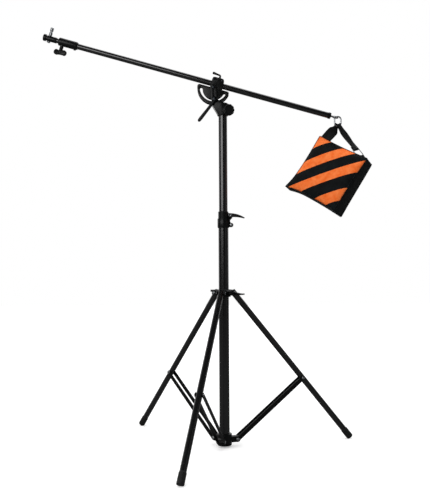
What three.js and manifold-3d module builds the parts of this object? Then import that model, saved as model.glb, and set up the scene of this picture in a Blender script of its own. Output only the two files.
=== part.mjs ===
// Overhead boom stand with a counterweight bag, in millimetres, +Z up.
// The column's axis is the Z axis while the pieces are made, X runs to the boom's rear end
// and -Y faces the person who works the locks. The last lines stand the model on its box.
import * as THREE from "three";
import { mergeVertices } from "three/addons/utils/BufferGeometryUtils.js";
import Module from "manifold-3d";

const wasm = await Module();
wasm.setup();

// Fits and faceting
const running_gap = 0.3;
const cut_overrun = 4;
const weld_distance = 0.0001;
const tube_sides = 20;
const small_sides = 14;
const pin_sides = 10;
const leg_sides = 16;
const curve_segments = 5;
const moon_segments = 6;
const wire_sides = 8;
const head_space_sides = 12;

// Column tubes
const lower_tube_outer = 35;
const lower_tube_wall = 1.5;
const lower_tube_top_height = 779;
const upper_tube_outer = 30;
const upper_tube_wall = 1.5;
const upper_tube_length = 780;
const upper_tube_top_height = 1172;
const guide_flange_height = 7;
const guide_plug_depth = 15;

// Tripod spread, as measured on the photograph
const first_leg_azimuth = 13.6;
const leg_count = 3;
const leg_spread_angle = 39.4;
const leg_pivot_radius = 36;
const leg_pivot_height = 525.5;
const leg_outer = 21;
const leg_wall = 1.5;
const leg_head_reach = 9;
const leg_pin_diameter = 6;
const strut_pivot_radius = 44;
const strut_pivot_height = 25.3;
const strut_on_leg_share = 0.578;
const strut_width = 15;
const strut_thickness = 3;
const rivet_head_diameter = 11;
const rivet_head_height = 2.6;

// Rubber feet
const foot_wall = 2;
const foot_length = 38;
const foot_end_wall = 5;
const foot_flat_depth = 2.4;

// Base hub
const base_hub_outer = 50;
const base_hub_bottom = 10;
const base_hub_height = 35;
const base_lug_radius = 10;
const base_cap_thickness = 4;
const base_cap_plug_depth = 12;

// Sliding collar
const collar_outer = 47;
const collar_below_pivot = 13;
const collar_above_pivot = 12;
const collar_flange_height = 7;
const collar_flange_reach = 47;
const collar_flange_corner = 5;
const collar_root_share = 0.3;
const collar_ear_thickness = 4;
const collar_ear_radius = 9;
const collar_split_width = 2.4;
const collar_screw_reach = 37;
const collar_lug_radius = 7.5;
const collar_lug_thickness = 6;
const collar_lever_drop = 2.3;

// Horn levers with their screws
const horn_hub_diameter = 14;
const horn_reach = 50;
const horn_thickness = 8;
const horn_edge_round = 1;
const horn_tip_radius = 2.2;
const horn_drop = 9;
const lever_screw_diameter = 5;
const screw_head_diameter = 9;
const screw_head_height = 3;
const hex_across_flats = 9;
const hex_height = 4;

// Column clamp
const clamp_below_tube_top = 29;
const clamp_height = 57;
const clamp_wall = 2.7;
const clamp_edge_round = 4;
const clamp_split_width = 2.4;
const clamp_ear_thickness = 7.8;
const clamp_lever_reach = 23;
const clamp_lever_rise = 43;
const clamp_lug_reach = 27.5;
const clamp_lug_rise = 10;
const clamp_lug_radius = 7;
const clamp_root_share = 0.7;

// Head that turns on the column
const socket_outer = 38;
const socket_grip = 32;
const socket_height = 44;
const pivot_offset = 31;
const pivot_rise = 65;
const fork_thickness = 4.5;
const fork_eye_radius = 11;
const fork_waist = 21;
const fork_foot_share = 0.8;
const fork_hip_share = 1.5;
const pivot_bolt_diameter = 6;

// Tilting half-moon plates
const boom_tilt = 15.8;
const boom_over_pivot = 15.2;
const moon_radius = 57;
const moon_corner_radius = 7;
const moon_plate_thickness = 3;
const moon_chord_drop = 1;
const slot_radius = 43.5;
const slot_width = 9;
const slot_half_angle = 74;
const slot_bolt_lean = 4.9;
const slot_bolt_diameter = 8;
const slot_spacer_diameter = 14;

// Boom clamp on top of the plates
const clamp_shift = 8;
const saddle_length = 34;
const saddle_depth = 9;
const tab_width = 42;
const tab_height = 20;
const tab_corner = 9;
const cap_height = 23;
const cap_edge_height = 4;
const cap_screw_diameter = 4;
const cap_screw_height = 16;
const cap_screw_spread = 30;
const pad_thickness = 3;
const pad_length = 16;
const boom_screw_diameter = 6;
const boom_screw_offset = 3;
const boom_lever_stem = 11;
const boom_lever_reach = 29;
const boom_lever_rise = 3;
const boom_lever_diameter = 6.5;
const boom_lever_neck_share = 0.8;

// Tilt lever
const tilt_lever_length = 88;
const tilt_lever_width = 10;
const tilt_lever_hub_diameter = 18;
const tilt_lever_thickness = 10;
const tilt_lever_angle = 231.5;

// Round knob that locks the head
const round_knob_diameter = 40;
const round_knob_thickness = 14;
const round_knob_azimuth = -65;
const round_knob_reach = 40;
const round_knob_rise = 12;
const round_knob_stem = 18;
const round_knob_flutes = 10;
const round_knob_flute_depth = 1;
const round_knob_flute_share = 0.2;
const round_knob_ease_share = 0.2;
const round_knob_sides = 24;
const knob_screw_diameter = 6.5;
const socket_boss_diameter = 15;
const socket_boss_reach = 24;

// Boom tubes, measured along the boom from the foot of the pivot
const boom_outer = 20;
const boom_wall = 1.5;
const boom_front_reach = 560;
const boom_rear_reach = 408;
const inner_boom_outer = 16;
const inner_boom_wall = 1.5;
const inner_boom_rear_reach = 310;
const front_collar_outer = 28;
const front_collar_length = 69;
const front_collar_lip = 5;
const front_collar_bump = 4;
const tip_gap = 7;
const tip_length = 48;
const tip_outer = 20;
const tip_flange_outer = 24;
const tip_flange_length = 9;
const tip_neck_outer = 17.5;
const tip_neck_length = 5;
const tip_plug_depth = 18;
const stud_from_tip = 21;
const stud_diameter = 12;
const stud_height = 30;
const stud_neck_diameter = 9;
const stud_neck_height = 7;
const stud_thread_diameter = 8;
const stud_nut_height = 4;

// Wing knob of the extension lock
const wing_knob_from_collar = 15;
const wing_knob_span = 50;
const wing_knob_depth = 19;
const wing_knob_thickness = 11;
const wing_knob_stem = 13;
const wing_knob_drop = 36.5;
const wing_knob_turn = 20;
const wing_boss_height = 4;

// Rear hook and ring
const rear_plug_outer = 22;
const rear_plug_length = 10;
const rear_spigot_share = 1.5;
const rear_shank_diameter = 7;
const rear_eye_from_plug = 25;
const rear_eye_radius = 10;
const rear_eye_wire = 4.4;
const ring_width = 27;
const ring_height = 38;
const ring_wire = 5;

// Counterweight bag
const bag_width = 209;
const bag_height = 207;
const bag_thickness = 88;
const bag_gusset_share = 0.76;
const bag_fuller_share = 0.35;
const bag_waist_share = 0.05;
const bag_yaw = 27;
const bag_pitch = 12.5;
const bag_roll = 30.5;
const bag_drop = 177;
const bag_side_shift = -31;
const bag_steps = 9;
const strap_width = 28;
const strap_gathered_width = 10;
const strap_thickness = 2.5;
const strap_turn_share = 0.4;
const strap_turned_share = 0.65;
const strap_gather_power = 2.5;
const keeper_place_share = 0.25;
const keeper_wire = 3;
const keeper_depth = 9;

// Materials, as colour, roughness and metalness
function satin_black_metal() {
  return new THREE.MeshStandardMaterial({ color: "#17181a", roughness: 0.36, metalness: 0.55 });
}
function black_casting() {
  return new THREE.MeshStandardMaterial({ color: "#141516", roughness: 0.55, metalness: 0.1 });
}
function black_rubber() {
  return new THREE.MeshStandardMaterial({ color: "#101112", roughness: 0.85, metalness: 0 });
}
function zinc_steel() {
  return new THREE.MeshStandardMaterial({ color: "#b4b8bb", roughness: 0.35, metalness: 1 });
}
function woven_nylon() {
  return new THREE.MeshStandardMaterial({ color: "#15181a", roughness: 0.9, metalness: 0 });
}

// Solids from three.js shapes
function solid_of(geometry) {
  const bare = geometry.index ? geometry.toNonIndexed() : geometry.clone();
  bare.deleteAttribute("normal");
  bare.deleteAttribute("uv");
  const merged = mergeVertices(bare, weld_distance);
  const corners = merged.index.array;
  const kept = [];
  for (let i = 0; i < corners.length; i += 3) {
    const [a, b, c] = [corners[i], corners[i + 1], corners[i + 2]];
    if (a !== b && b !== c && c !== a) kept.push(a, b, c);
  }
  return new wasm.Manifold(new wasm.Mesh({
    numProp: 3,
    vertProperties: new Float32Array(merged.attributes.position.array),
    triVerts: new Uint32Array(kept),
  }));
}

function geometry_of(solid) {
  const mesh = solid.getMesh();
  const geometry = new THREE.BufferGeometry();
  geometry.setAttribute("position", new THREE.BufferAttribute(mesh.vertProperties.slice(), 3));
  geometry.setIndex(new THREE.BufferAttribute(mesh.triVerts.slice(), 1));
  geometry.computeVertexNormals();
  return geometry;
}

function piece(name, solid, material, parent) {
  const mesh = new THREE.Mesh(geometry_of(solid), material);
  mesh.name = name;
  parent.add(mesh);
  return mesh;
}

// A round body about the Z axis, from [radius, height] pairs that start and end on the axis
function turned(profile, sides) {
  const points = profile.map(([radius, height]) => new THREE.Vector2(radius, height));
  return solid_of(new THREE.LatheGeometry(points, sides).rotateX(Math.PI / 2));
}

function rod(diameter, bottom, top, sides) {
  return turned([[0, bottom], [diameter / 2, bottom], [diameter / 2, top], [0, top]], sides);
}

function tube(outer, inner, bottom, top, sides) {
  return rod(outer, bottom, top, sides)
    .subtract(rod(inner, bottom - cut_overrun, top + cut_overrun, sides));
}

// A flat plate, outlined in X and Z, that fills the depth between two Y values
function upright(shape, front, back, segments = curve_segments) {
  const depth = back - front;
  const geometry = new THREE.ExtrudeGeometry(shape, { depth, bevelEnabled: false, curveSegments: segments });
  return solid_of(geometry.rotateX(Math.PI / 2).translate(0, back, 0));
}

// The same with its long edges rounded by one facet
function upright_eased(shape, front, back, ease, segments = curve_segments) {
  const geometry = new THREE.ExtrudeGeometry(shape, {
    depth: back - front - 2 * ease,
    bevelEnabled: true,
    bevelThickness: ease,
    bevelSize: ease,
    bevelOffset: -ease,
    bevelSegments: 1,
    curveSegments: segments,
  });
  return solid_of(geometry.rotateX(Math.PI / 2).translate(0, back - ease, 0));
}

function placed(solid, matrix) {
  return solid_of(geometry_of(solid).applyMatrix4(matrix));
}

function moved(solid, x, y, z) {
  return placed(solid, new THREE.Matrix4().makeTranslation(x, y, z));
}

// A round body along the Y axis through a point of the XZ plane, from [radius, along] pairs
function turned_across(profile, x, z, sides) {
  const points = profile.map(([radius, along]) => new THREE.Vector2(radius, along));
  return solid_of(new THREE.LatheGeometry(points, sides).translate(x, 0, z));
}

function cross_pin(diameter, x, z, front, back, sides = pin_sides) {
  const radius = diameter / 2;
  return turned_across([[0, front], [radius, front], [radius, back], [0, back]], x, z, sides);
}

// A rivet along the Y axis with a shallow dome outside each of the two faces that it holds
function rivet(shank_diameter, x, z, face) {
  const head = rivet_head_diameter / 2;
  const crown = rivet_head_height;
  const shank = shank_diameter / 2;
  const dome_shares = [[1, 0], [0.7, 0.8], [0, 1]];
  const back = dome_shares.map(([across, up]) => [head * across, face + crown * up]);
  const front = back.map(([radius, along]) => [radius, -along]).reverse();
  return turned_across([...front, [shank, -face], [shank, face], ...back], x, z, pin_sides);
}

function hexagon(across_flats) {
  return across_flats / Math.cos(Math.PI / 6);
}

const radians = THREE.MathUtils.degToRad;

// A screw along the Y axis: head in front, shank, and a nut behind
function cross_screw(diameter, head_diameter, x, z, front, back) {
  const head = cross_pin(head_diameter, x, z, front - screw_head_height, front, small_sides);
  const shank = cross_pin(diameter, x, z, front - screw_head_height / 2, back + hex_height / 2);
  const nut = cross_pin(hexagon(hex_across_flats), x, z, back, back + hex_height, 6);
  return head.add(shank).add(nut);
}

const stand = new THREE.Group();

const rest_angle = radians(leg_spread_angle);
const leg_radius = leg_outer / 2;
const foot_radius = leg_radius + foot_wall;
const strap_face = leg_radius + running_gap;
const pin_hole = leg_pin_diameter + 2 * running_gap;

// The leg runs from its pivot to the middle of its rubber end, whose lower edge meets the floor
const foot_end_height = foot_radius * Math.sin(rest_angle) - foot_flat_depth;
const leg_reach = (leg_pivot_height - foot_end_height) / Math.cos(rest_angle);
const strut_on_leg = leg_reach * strut_on_leg_share;
const strut_top_radius = leg_pivot_radius + strut_on_leg * Math.sin(rest_angle);
const strut_top_height = leg_pivot_height - strut_on_leg * Math.cos(rest_angle);
const strut_run = strut_top_radius - strut_pivot_radius;
const strut_rise = strut_top_height - strut_pivot_height;
const strut_reach = Math.hypot(strut_run, strut_rise);
const strut_angle = Math.atan2(strut_run, strut_rise);

// Directions round the column that the three legs share
function around(group, index) {
  group.rotation.z = radians(first_leg_azimuth + (index * 360) / leg_count);
  return group;
}

function turned_to(solid, azimuth) {
  return placed(solid, new THREE.Matrix4().makeRotationZ(radians(azimuth)));
}

// An eye in the XZ plane that reaches out from the axis to a pivot
function eye_outline(root, reach, height, radius) {
  const shape = new THREE.Shape();
  shape.moveTo(root, height - radius);
  shape.lineTo(reach, height - radius);
  shape.absarc(reach, height, radius, -Math.PI / 2, Math.PI / 2, false);
  shape.lineTo(root, height + radius);
  return shape;
}

// Base hub with three eyes, its rivets and the column's lower tube
const lower_tube_inner = lower_tube_outer - 2 * lower_tube_wall;
const base_hub_top = base_hub_bottom + base_hub_height;

function make_base(parent) {
  const bore = lower_tube_outer + 2 * running_gap;
  let hub = rod(base_hub_outer, base_hub_bottom, base_hub_top, tube_sides);
  const eye = upright(eye_outline(0, strut_pivot_radius, strut_pivot_height, base_lug_radius),
    -leg_radius, leg_radius);
  const hole = cross_pin(pin_hole, strut_pivot_radius, strut_pivot_height,
    -leg_radius - cut_overrun, leg_radius + cut_overrun);
  for (let i = 0; i < leg_count; i += 1) {
    hub = hub.add(turned_to(eye.subtract(hole), first_leg_azimuth + (i * 360) / leg_count));
  }
  hub = hub.subtract(rod(bore, base_hub_bottom - cut_overrun, base_hub_top + cut_overrun, tube_sides));
  piece("base_hub", hub, black_casting(), parent);

  const cap_top = base_hub_bottom - running_gap;
  const plug = lower_tube_inner / 2 - running_gap;
  const rim = base_hub_outer / 2 - 2 * running_gap;
  const cap = turned([
    [0, cap_top - base_cap_thickness], [rim, cap_top - base_cap_thickness], [rim, cap_top],
    [plug, cap_top], [plug, cap_top + base_cap_plug_depth], [0, cap_top + base_cap_plug_depth],
  ], tube_sides);
  piece("base_end_cap", cap, black_casting(), parent);

  const column = tube(lower_tube_outer, lower_tube_inner, base_hub_bottom, lower_tube_top_height, tube_sides);
  piece("lower_column_tube", column, satin_black_metal(), parent);

  const strut_face = strap_face + strut_thickness + running_gap;
  for (let i = 0; i < leg_count; i += 1) {
    const place = around(new THREE.Group(), i);
    const pin = rivet(leg_pin_diameter, strut_pivot_radius, strut_pivot_height, strut_face);
    piece(`base_rivet_${i + 1}`, pin, zinc_steel(), place);
    parent.add(place);
  }
}

// One leg, made along its own axis from the pivot down, with its rubber foot
function make_leg(index, parent) {
  const place = around(new THREE.Group(), index);
  const turn = new THREE.Matrix4().makeRotationY(Math.PI - rest_angle)
    .setPosition(leg_pivot_radius, 0, leg_pivot_height);
  const tube_end = leg_reach - foot_end_wall - running_gap;
  const leg = tube(leg_outer, leg_outer - 2 * leg_wall, -leg_head_reach, tube_end, leg_sides)
    .subtract(cross_pin(pin_hole, 0, 0, -leg_radius - cut_overrun, leg_radius + cut_overrun));
  piece(`leg_${index + 1}`, placed(leg, turn), satin_black_metal(), place);

  const mouth = leg_reach - foot_length;
  const bore = leg_outer + 2 * running_gap;
  const blank = turned([
    [0, mouth], [foot_radius - foot_wall / 2, mouth], [foot_radius, mouth + foot_wall],
    [foot_radius, leg_reach], [0, leg_reach],
  ], leg_sides);
  const boot = blank.subtract(rod(bore, mouth - cut_overrun, leg_reach - foot_end_wall, leg_sides));
  const floor_size = 4 * foot_length;
  const floor = solid_of(new THREE.BoxGeometry(floor_size, floor_size, floor_size)
    .translate(leg_pivot_radius + leg_reach * Math.sin(rest_angle), 0, -floor_size / 2));
  piece(`foot_${index + 1}`, placed(boot, turn).subtract(floor), black_rubber(), place);
  parent.add(place);
}

// The two flat bars of one strut, with the head of their upper rivet on each
function make_strut(index, parent) {
  const place = around(new THREE.Group(), index);
  const turn = new THREE.Matrix4().makeRotationY(strut_angle)
    .setPosition(strut_pivot_radius, 0, strut_pivot_height);
  const half = strut_width / 2;
  const shape = new THREE.Shape();
  shape.absarc(0, 0, half, Math.PI, 2 * Math.PI, false);
  shape.absarc(0, strut_reach, half, 0, Math.PI, false);
  const outer_face = strap_face + strut_thickness;
  const head = rivet_head_diameter / 2;
  const bar = upright(shape, strap_face, outer_face)
    .add(turned_across([
      [0, outer_face - strut_thickness / 2], [head, outer_face - strut_thickness / 2],
      [head, outer_face], [0, outer_face + rivet_head_height],
    ], 0, strut_reach, pin_sides))
    .subtract(cross_pin(pin_hole, 0, 0, strap_face - cut_overrun, outer_face + cut_overrun));
  const mirror = new THREE.Matrix4().makeRotationZ(Math.PI);
  piece(`strut_${index + 1}_left`, placed(bar, turn), satin_black_metal(), place);
  piece(`strut_${index + 1}_right`, placed(placed(bar, mirror), turn), satin_black_metal(), place);
  parent.add(place);
}

// A curved horn lever in the XZ plane, hub at the origin and tip towards +X, before its screw
function horn_lever(drop) {
  const hub = horn_hub_diameter / 2;
  const shape = new THREE.Shape();
  shape.moveTo(0, -hub);
  shape.absarc(0, 0, hub, -Math.PI / 2, -1.5 * Math.PI, true);
  shape.quadraticCurveTo(horn_reach / 2, hub, horn_reach - horn_tip_radius, horn_tip_radius - drop);
  shape.absarc(horn_reach - horn_tip_radius, -drop, horn_tip_radius, Math.PI / 2, -Math.PI / 2, true);
  shape.quadraticCurveTo(horn_reach / 2, -drop / 2, 0, -hub);
  return shape;
}

function make_horn_lever(name, drop, half_width, parent) {
  const inner = -half_width - running_gap;
  const outer = inner - horn_thickness;
  const reach = half_width - clamp_edge_round / 2;
  const lever = upright_eased(horn_lever(drop), outer, inner, horn_edge_round)
    .subtract(cross_pin(lever_screw_diameter + 2 * running_gap, 0, 0, outer - cut_overrun, inner + cut_overrun));
  piece(`${name}_lever`, lever, black_casting(), parent);
  const head = screw_head_diameter / 2;
  const shank = lever_screw_diameter / 2;
  const face = outer - running_gap;
  const screw = turned_across([
    [0, face - screw_head_height], [head - horn_edge_round, face - screw_head_height],
    [head, face - screw_head_height / 2], [head, face], [shank, face], [shank, reach], [0, reach],
  ], 0, 0, pin_sides);
  piece(`${name}_lever_screw`, screw, zinc_steel(), parent);
}

// A slit through one side of a collar, from the axis outwards along +X
function slit(width, reach, bottom, top) {
  const height = top - bottom + 2 * cut_overrun;
  return solid_of(new THREE.BoxGeometry(reach, width, height)
    .translate(reach / 2, 0, (bottom + top) / 2));
}

function flat(shape, bottom, top, segments = curve_segments) {
  const depth = top - bottom;
  const geometry = new THREE.ExtrudeGeometry(shape, { depth, bevelEnabled: false, curveSegments: segments });
  return solid_of(geometry.translate(0, 0, bottom));
}

// Sliding collar: ears for the legs, finger corners between them and a split lug with a horn lever
function make_collar(parent) {
  const bottom = leg_pivot_height - collar_below_pivot;
  const top = leg_pivot_height + collar_above_pivot;
  const step = 360 / leg_count;
  const corner = collar_flange_reach - collar_flange_corner;
  const outline = new THREE.Shape();
  for (let i = 0; i < leg_count; i += 1) {
    const azimuth = radians(first_leg_azimuth + (i + 0.5) * step);
    outline.absarc(corner * Math.cos(azimuth), corner * Math.sin(azimuth), collar_flange_corner,
      azimuth - Math.PI / leg_count, azimuth + Math.PI / leg_count, false);
  }
  let body = rod(collar_outer, bottom, top, tube_sides)
    .add(flat(outline, top - collar_flange_height, top));

  const ear_root = collar_outer * collar_root_share;
  const ear_face = strap_face + collar_ear_thickness;
  const ear = upright(eye_outline(ear_root, leg_pivot_radius, leg_pivot_height, collar_ear_radius),
    -ear_face, ear_face);
  const head_space = 2 * (Math.hypot(leg_head_reach, leg_radius) + 2 * running_gap);
  const space = cross_pin(head_space, leg_pivot_radius, leg_pivot_height, -strap_face, strap_face, head_space_sides);
  const hole = cross_pin(pin_hole, leg_pivot_radius, leg_pivot_height,
    -ear_face - cut_overrun, ear_face + cut_overrun);
  for (let i = 0; i < leg_count; i += 1) {
    body = body.add(turned_to(ear, first_leg_azimuth + i * step));
  }
  for (let i = 0; i < leg_count; i += 1) {
    body = body.subtract(turned_to(space.add(hole), first_leg_azimuth + i * step));
  }

  const lug_azimuth = first_leg_azimuth + (leg_count - 0.5) * step;
  const lug_half = collar_split_width / 2 + collar_lug_thickness;
  const lug_end = collar_screw_reach + collar_lug_radius;
  const lug = upright(eye_outline(ear_root, collar_screw_reach, leg_pivot_height, collar_lug_radius),
    -lug_half, lug_half);
  const lever_room = 2 * horn_hub_diameter;
  const room_start = collar_screw_reach - horn_hub_diameter / 2 - 3 * running_gap;
  const room = solid_of(new THREE.BoxGeometry(lever_room, lever_room, top - bottom + 2 * cut_overrun)
    .translate(room_start + lever_room / 2, lug_half + lever_room / 2, (top + bottom) / 2));
  const screw_hole = cross_pin(lever_screw_diameter + 2 * running_gap, collar_screw_reach, leg_pivot_height,
    -lug_half - cut_overrun, lug_half + cut_overrun);
  body = body.subtract(turned_to(room, lug_azimuth))
    .add(turned_to(lug, lug_azimuth))
    .subtract(turned_to(screw_hole, lug_azimuth))
    .subtract(turned_to(slit(collar_split_width, lug_end + cut_overrun, bottom, top), lug_azimuth))
    .subtract(rod(lower_tube_outer + 2 * running_gap, bottom - cut_overrun, top + cut_overrun, tube_sides));
  piece("spreader_collar", body, black_casting(), parent);

  for (let i = 0; i < leg_count; i += 1) {
    const place = around(new THREE.Group(), i);
    const pin = rivet(leg_pin_diameter, leg_pivot_radius, leg_pivot_height, ear_face + running_gap);
    piece(`leg_rivet_${i + 1}`, pin, zinc_steel(), place);
    parent.add(place);
  }

  const place = new THREE.Group();
  place.rotation.z = radians(lug_azimuth);
  const turn = new THREE.Group();
  turn.position.set(collar_screw_reach, 0, leg_pivot_height);
  turn.rotation.x = Math.PI;
  make_horn_lever("collar", -collar_lever_drop, lug_half, turn);
  place.add(turn);
  parent.add(place);
}

// Split clamp that grips the upper tube where it leaves the lower one
const upper_tube_radius = upper_tube_outer / 2;
const clamp_bottom = lower_tube_top_height - clamp_below_tube_top;
const clamp_lug_height = clamp_bottom + clamp_lug_rise;
const clamp_lever_height = clamp_bottom + clamp_lever_rise;

function make_column_clamp(parent) {
  const top = clamp_bottom + clamp_height;
  const shoulder = lower_tube_top_height + 2 * clamp_wall;
  const low = lower_tube_outer / 2 + running_gap + clamp_wall;
  const high = upper_tube_radius + running_gap + clamp_wall;
  let body = turned([
    [0, clamp_bottom], [low - clamp_wall / 2, clamp_bottom], [low, clamp_bottom + clamp_edge_round],
    [low, shoulder - clamp_edge_round], [high, shoulder], [high, top - clamp_edge_round / 2],
    [high - clamp_wall / 2, top], [0, top],
  ], tube_sides);

  const root = upper_tube_radius * clamp_root_share;
  const eye = horn_hub_diameter / 2 + horn_edge_round;
  const waist = low + clamp_wall;
  const waist_height = (clamp_lug_height + clamp_lever_height) / 2;
  const outline = new THREE.Shape();
  outline.moveTo(root, clamp_lug_height - clamp_lug_radius);
  outline.lineTo(clamp_lug_reach, clamp_lug_height - clamp_lug_radius);
  outline.absarc(clamp_lug_reach, clamp_lug_height, clamp_lug_radius, -Math.PI / 2, Math.PI / 2, false);
  outline.quadraticCurveTo(waist, clamp_lug_height + clamp_lug_radius, waist, waist_height);
  outline.lineTo(clamp_lever_reach + eye, clamp_lever_height - eye);
  outline.absarc(clamp_lever_reach, clamp_lever_height, eye, 0, Math.PI / 2, false);
  outline.lineTo(root, clamp_lever_height + eye);
  const half = clamp_split_width / 2 + clamp_ear_thickness;
  const bolt_hole = cap_screw_diameter + 2 * running_gap;
  const screw_hole = lever_screw_diameter + 2 * running_gap;
  body = body.add(upright(outline, -half, half))
    .subtract(slit(clamp_split_width, clamp_lug_reach + clamp_lug_radius + cut_overrun, clamp_bottom, top))
    .subtract(cross_pin(bolt_hole, clamp_lug_reach, clamp_lug_height, -half - cut_overrun, half + cut_overrun))
    .subtract(cross_pin(screw_hole, clamp_lever_reach, clamp_lever_height,
      -half - cut_overrun, half + cut_overrun))
    .subtract(rod(lower_tube_outer + 2 * running_gap, clamp_bottom - cut_overrun,
      lower_tube_top_height + running_gap, tube_sides))
    .subtract(rod(upper_tube_outer + 2 * running_gap, clamp_bottom, top + cut_overrun, tube_sides));
  piece("column_clamp", body, black_casting(), parent);

  const bolt = cross_screw(cap_screw_diameter, screw_head_diameter, clamp_lug_reach, clamp_lug_height,
    -half - running_gap, half + running_gap);
  piece("column_clamp_bolt", bolt, zinc_steel(), parent);

  const turn = new THREE.Group();
  turn.position.set(clamp_lever_reach, 0, clamp_lever_height);
  make_horn_lever("column", horn_drop, half, turn);
  parent.add(turn);
}

// Upper column tube with the plastic guide on its hidden end
function make_upper_column(parent) {
  const bottom = upper_tube_top_height - upper_tube_length;
  const inner = upper_tube_outer - 2 * upper_tube_wall;
  const column = tube(upper_tube_outer, inner, bottom, upper_tube_top_height, tube_sides);
  piece("upper_column_tube", column, satin_black_metal(), parent);
  const rim = lower_tube_inner / 2 - running_gap;
  const plug = inner / 2 - running_gap;
  const seat = bottom - running_gap;
  const guide = turned([
    [0, seat - guide_flange_height], [rim, seat - guide_flange_height], [rim, seat],
    [plug, seat], [plug, seat + guide_plug_depth], [0, seat + guide_plug_depth],
  ], tube_sides);
  piece("upper_tube_guide", guide, black_casting(), parent);
}

// Fork head: a socket on the column with two cheeks that rise to the pivot
const plate_face = boom_outer / 2 + running_gap;
const plate_outer_face = plate_face + moon_plate_thickness;
const fork_face = plate_outer_face + running_gap;
const fork_outer_face = fork_face + fork_thickness;
const socket_bottom = upper_tube_top_height - socket_grip;
const pivot_height = upper_tube_top_height + pivot_rise;
const round_knob_height = socket_bottom + round_knob_rise;
const slot_bolt_x = -pivot_offset + slot_radius * Math.sin(radians(slot_bolt_lean));
const slot_bolt_z = pivot_height - slot_radius * Math.cos(radians(slot_bolt_lean));
const knob_hole = knob_screw_diameter + 2 * running_gap;

// Lays a body that was turned about Z out along the direction of the round knob
function along_knob(solid) {
  const turn = new THREE.Matrix4().makeRotationZ(radians(round_knob_azimuth))
    .multiply(new THREE.Matrix4().makeRotationY(Math.PI / 2))
    .setPosition(0, 0, round_knob_height);
  return placed(solid, turn);
}

function make_head(parent) {
  const top = socket_bottom + socket_height;
  const radius = socket_outer / 2;
  const half = fork_waist / 2;
  const outline = new THREE.Shape();
  outline.moveTo(0, socket_bottom);
  outline.lineTo(-radius * fork_foot_share, socket_bottom);
  outline.lineTo(slot_bolt_x - half, slot_bolt_z - half * fork_hip_share);
  outline.lineTo(-pivot_offset - fork_eye_radius, pivot_height);
  outline.absarc(-pivot_offset, pivot_height, fork_eye_radius, Math.PI, 0, true);
  outline.lineTo(slot_bolt_x + half, slot_bolt_z);
  outline.lineTo(0, top);
  const space = 2 * (moon_radius + moon_plate_thickness);
  const through = fork_outer_face + cut_overrun;
  const head = upright(outline, -fork_outer_face, fork_outer_face)
    .add(turned([
      [0, socket_bottom], [radius - running_gap, socket_bottom], [radius, socket_bottom + 2 * running_gap],
      [radius, top - fork_thickness / 2], [radius - fork_thickness / 2, top], [0, top],
    ], tube_sides))
    .add(along_knob(rod(socket_boss_diameter, upper_tube_radius, socket_boss_reach, small_sides)))
    .subtract(cross_pin(space, -pivot_offset, pivot_height, -fork_face, fork_face, 2 * tube_sides))
    .subtract(rod(upper_tube_outer + 2 * running_gap, socket_bottom - cut_overrun,
      upper_tube_top_height + running_gap, tube_sides))
    .subtract(along_knob(rod(knob_hole, 0, socket_boss_reach + cut_overrun, small_sides)))
    .subtract(cross_pin(pivot_bolt_diameter + 2 * running_gap, -pivot_offset, pivot_height, -through, through))
    .subtract(cross_pin(slot_bolt_diameter + 2 * running_gap, slot_bolt_x, slot_bolt_z, -through, through));
  piece("fork_head", head, black_casting(), parent);

  const bolt = cross_screw(pivot_bolt_diameter, hexagon(hex_across_flats), -pivot_offset, pivot_height,
    -fork_outer_face - running_gap, fork_outer_face + running_gap);
  piece("pivot_bolt", bolt, zinc_steel(), parent);
}

// Round knob, and the screw that it drives against the column
function make_round_knob(parent) {
  const radius = round_knob_diameter / 2;
  const end = round_knob_reach + round_knob_thickness;
  const ease = round_knob_thickness * round_knob_ease_share;
  const start = socket_boss_reach + running_gap;
  const tip = upper_tube_radius + running_gap;
  const screw_end = round_knob_reach + round_knob_thickness / 2;
  let knob = turned([
    [0, start], [round_knob_stem / 2, start], [round_knob_stem / 2, round_knob_reach - ease],
    [radius - ease, round_knob_reach], [radius, round_knob_reach + ease],
    [radius, end - ease], [radius - ease, end], [0, end - ease / 2],
  ], round_knob_sides);
  const flute = radius * round_knob_flute_share;
  for (let i = 0; i < round_knob_flutes; i += 1) {
    const angle = (2 * Math.PI * i) / round_knob_flutes;
    const distance = radius + flute - round_knob_flute_depth;
    const cutter = rod(2 * flute, round_knob_reach - cut_overrun, end + cut_overrun, pin_sides);
    knob = knob.subtract(moved(cutter, distance * Math.cos(angle), distance * Math.sin(angle), 0));
  }
  knob = knob.subtract(rod(knob_hole, start - cut_overrun, screw_end + running_gap, pin_sides));
  piece("round_knob", along_knob(knob), black_casting(), parent);
  piece("round_knob_screw", along_knob(rod(knob_screw_diameter, tip, screw_end, pin_sides)),
    zinc_steel(), parent);
}

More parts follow.
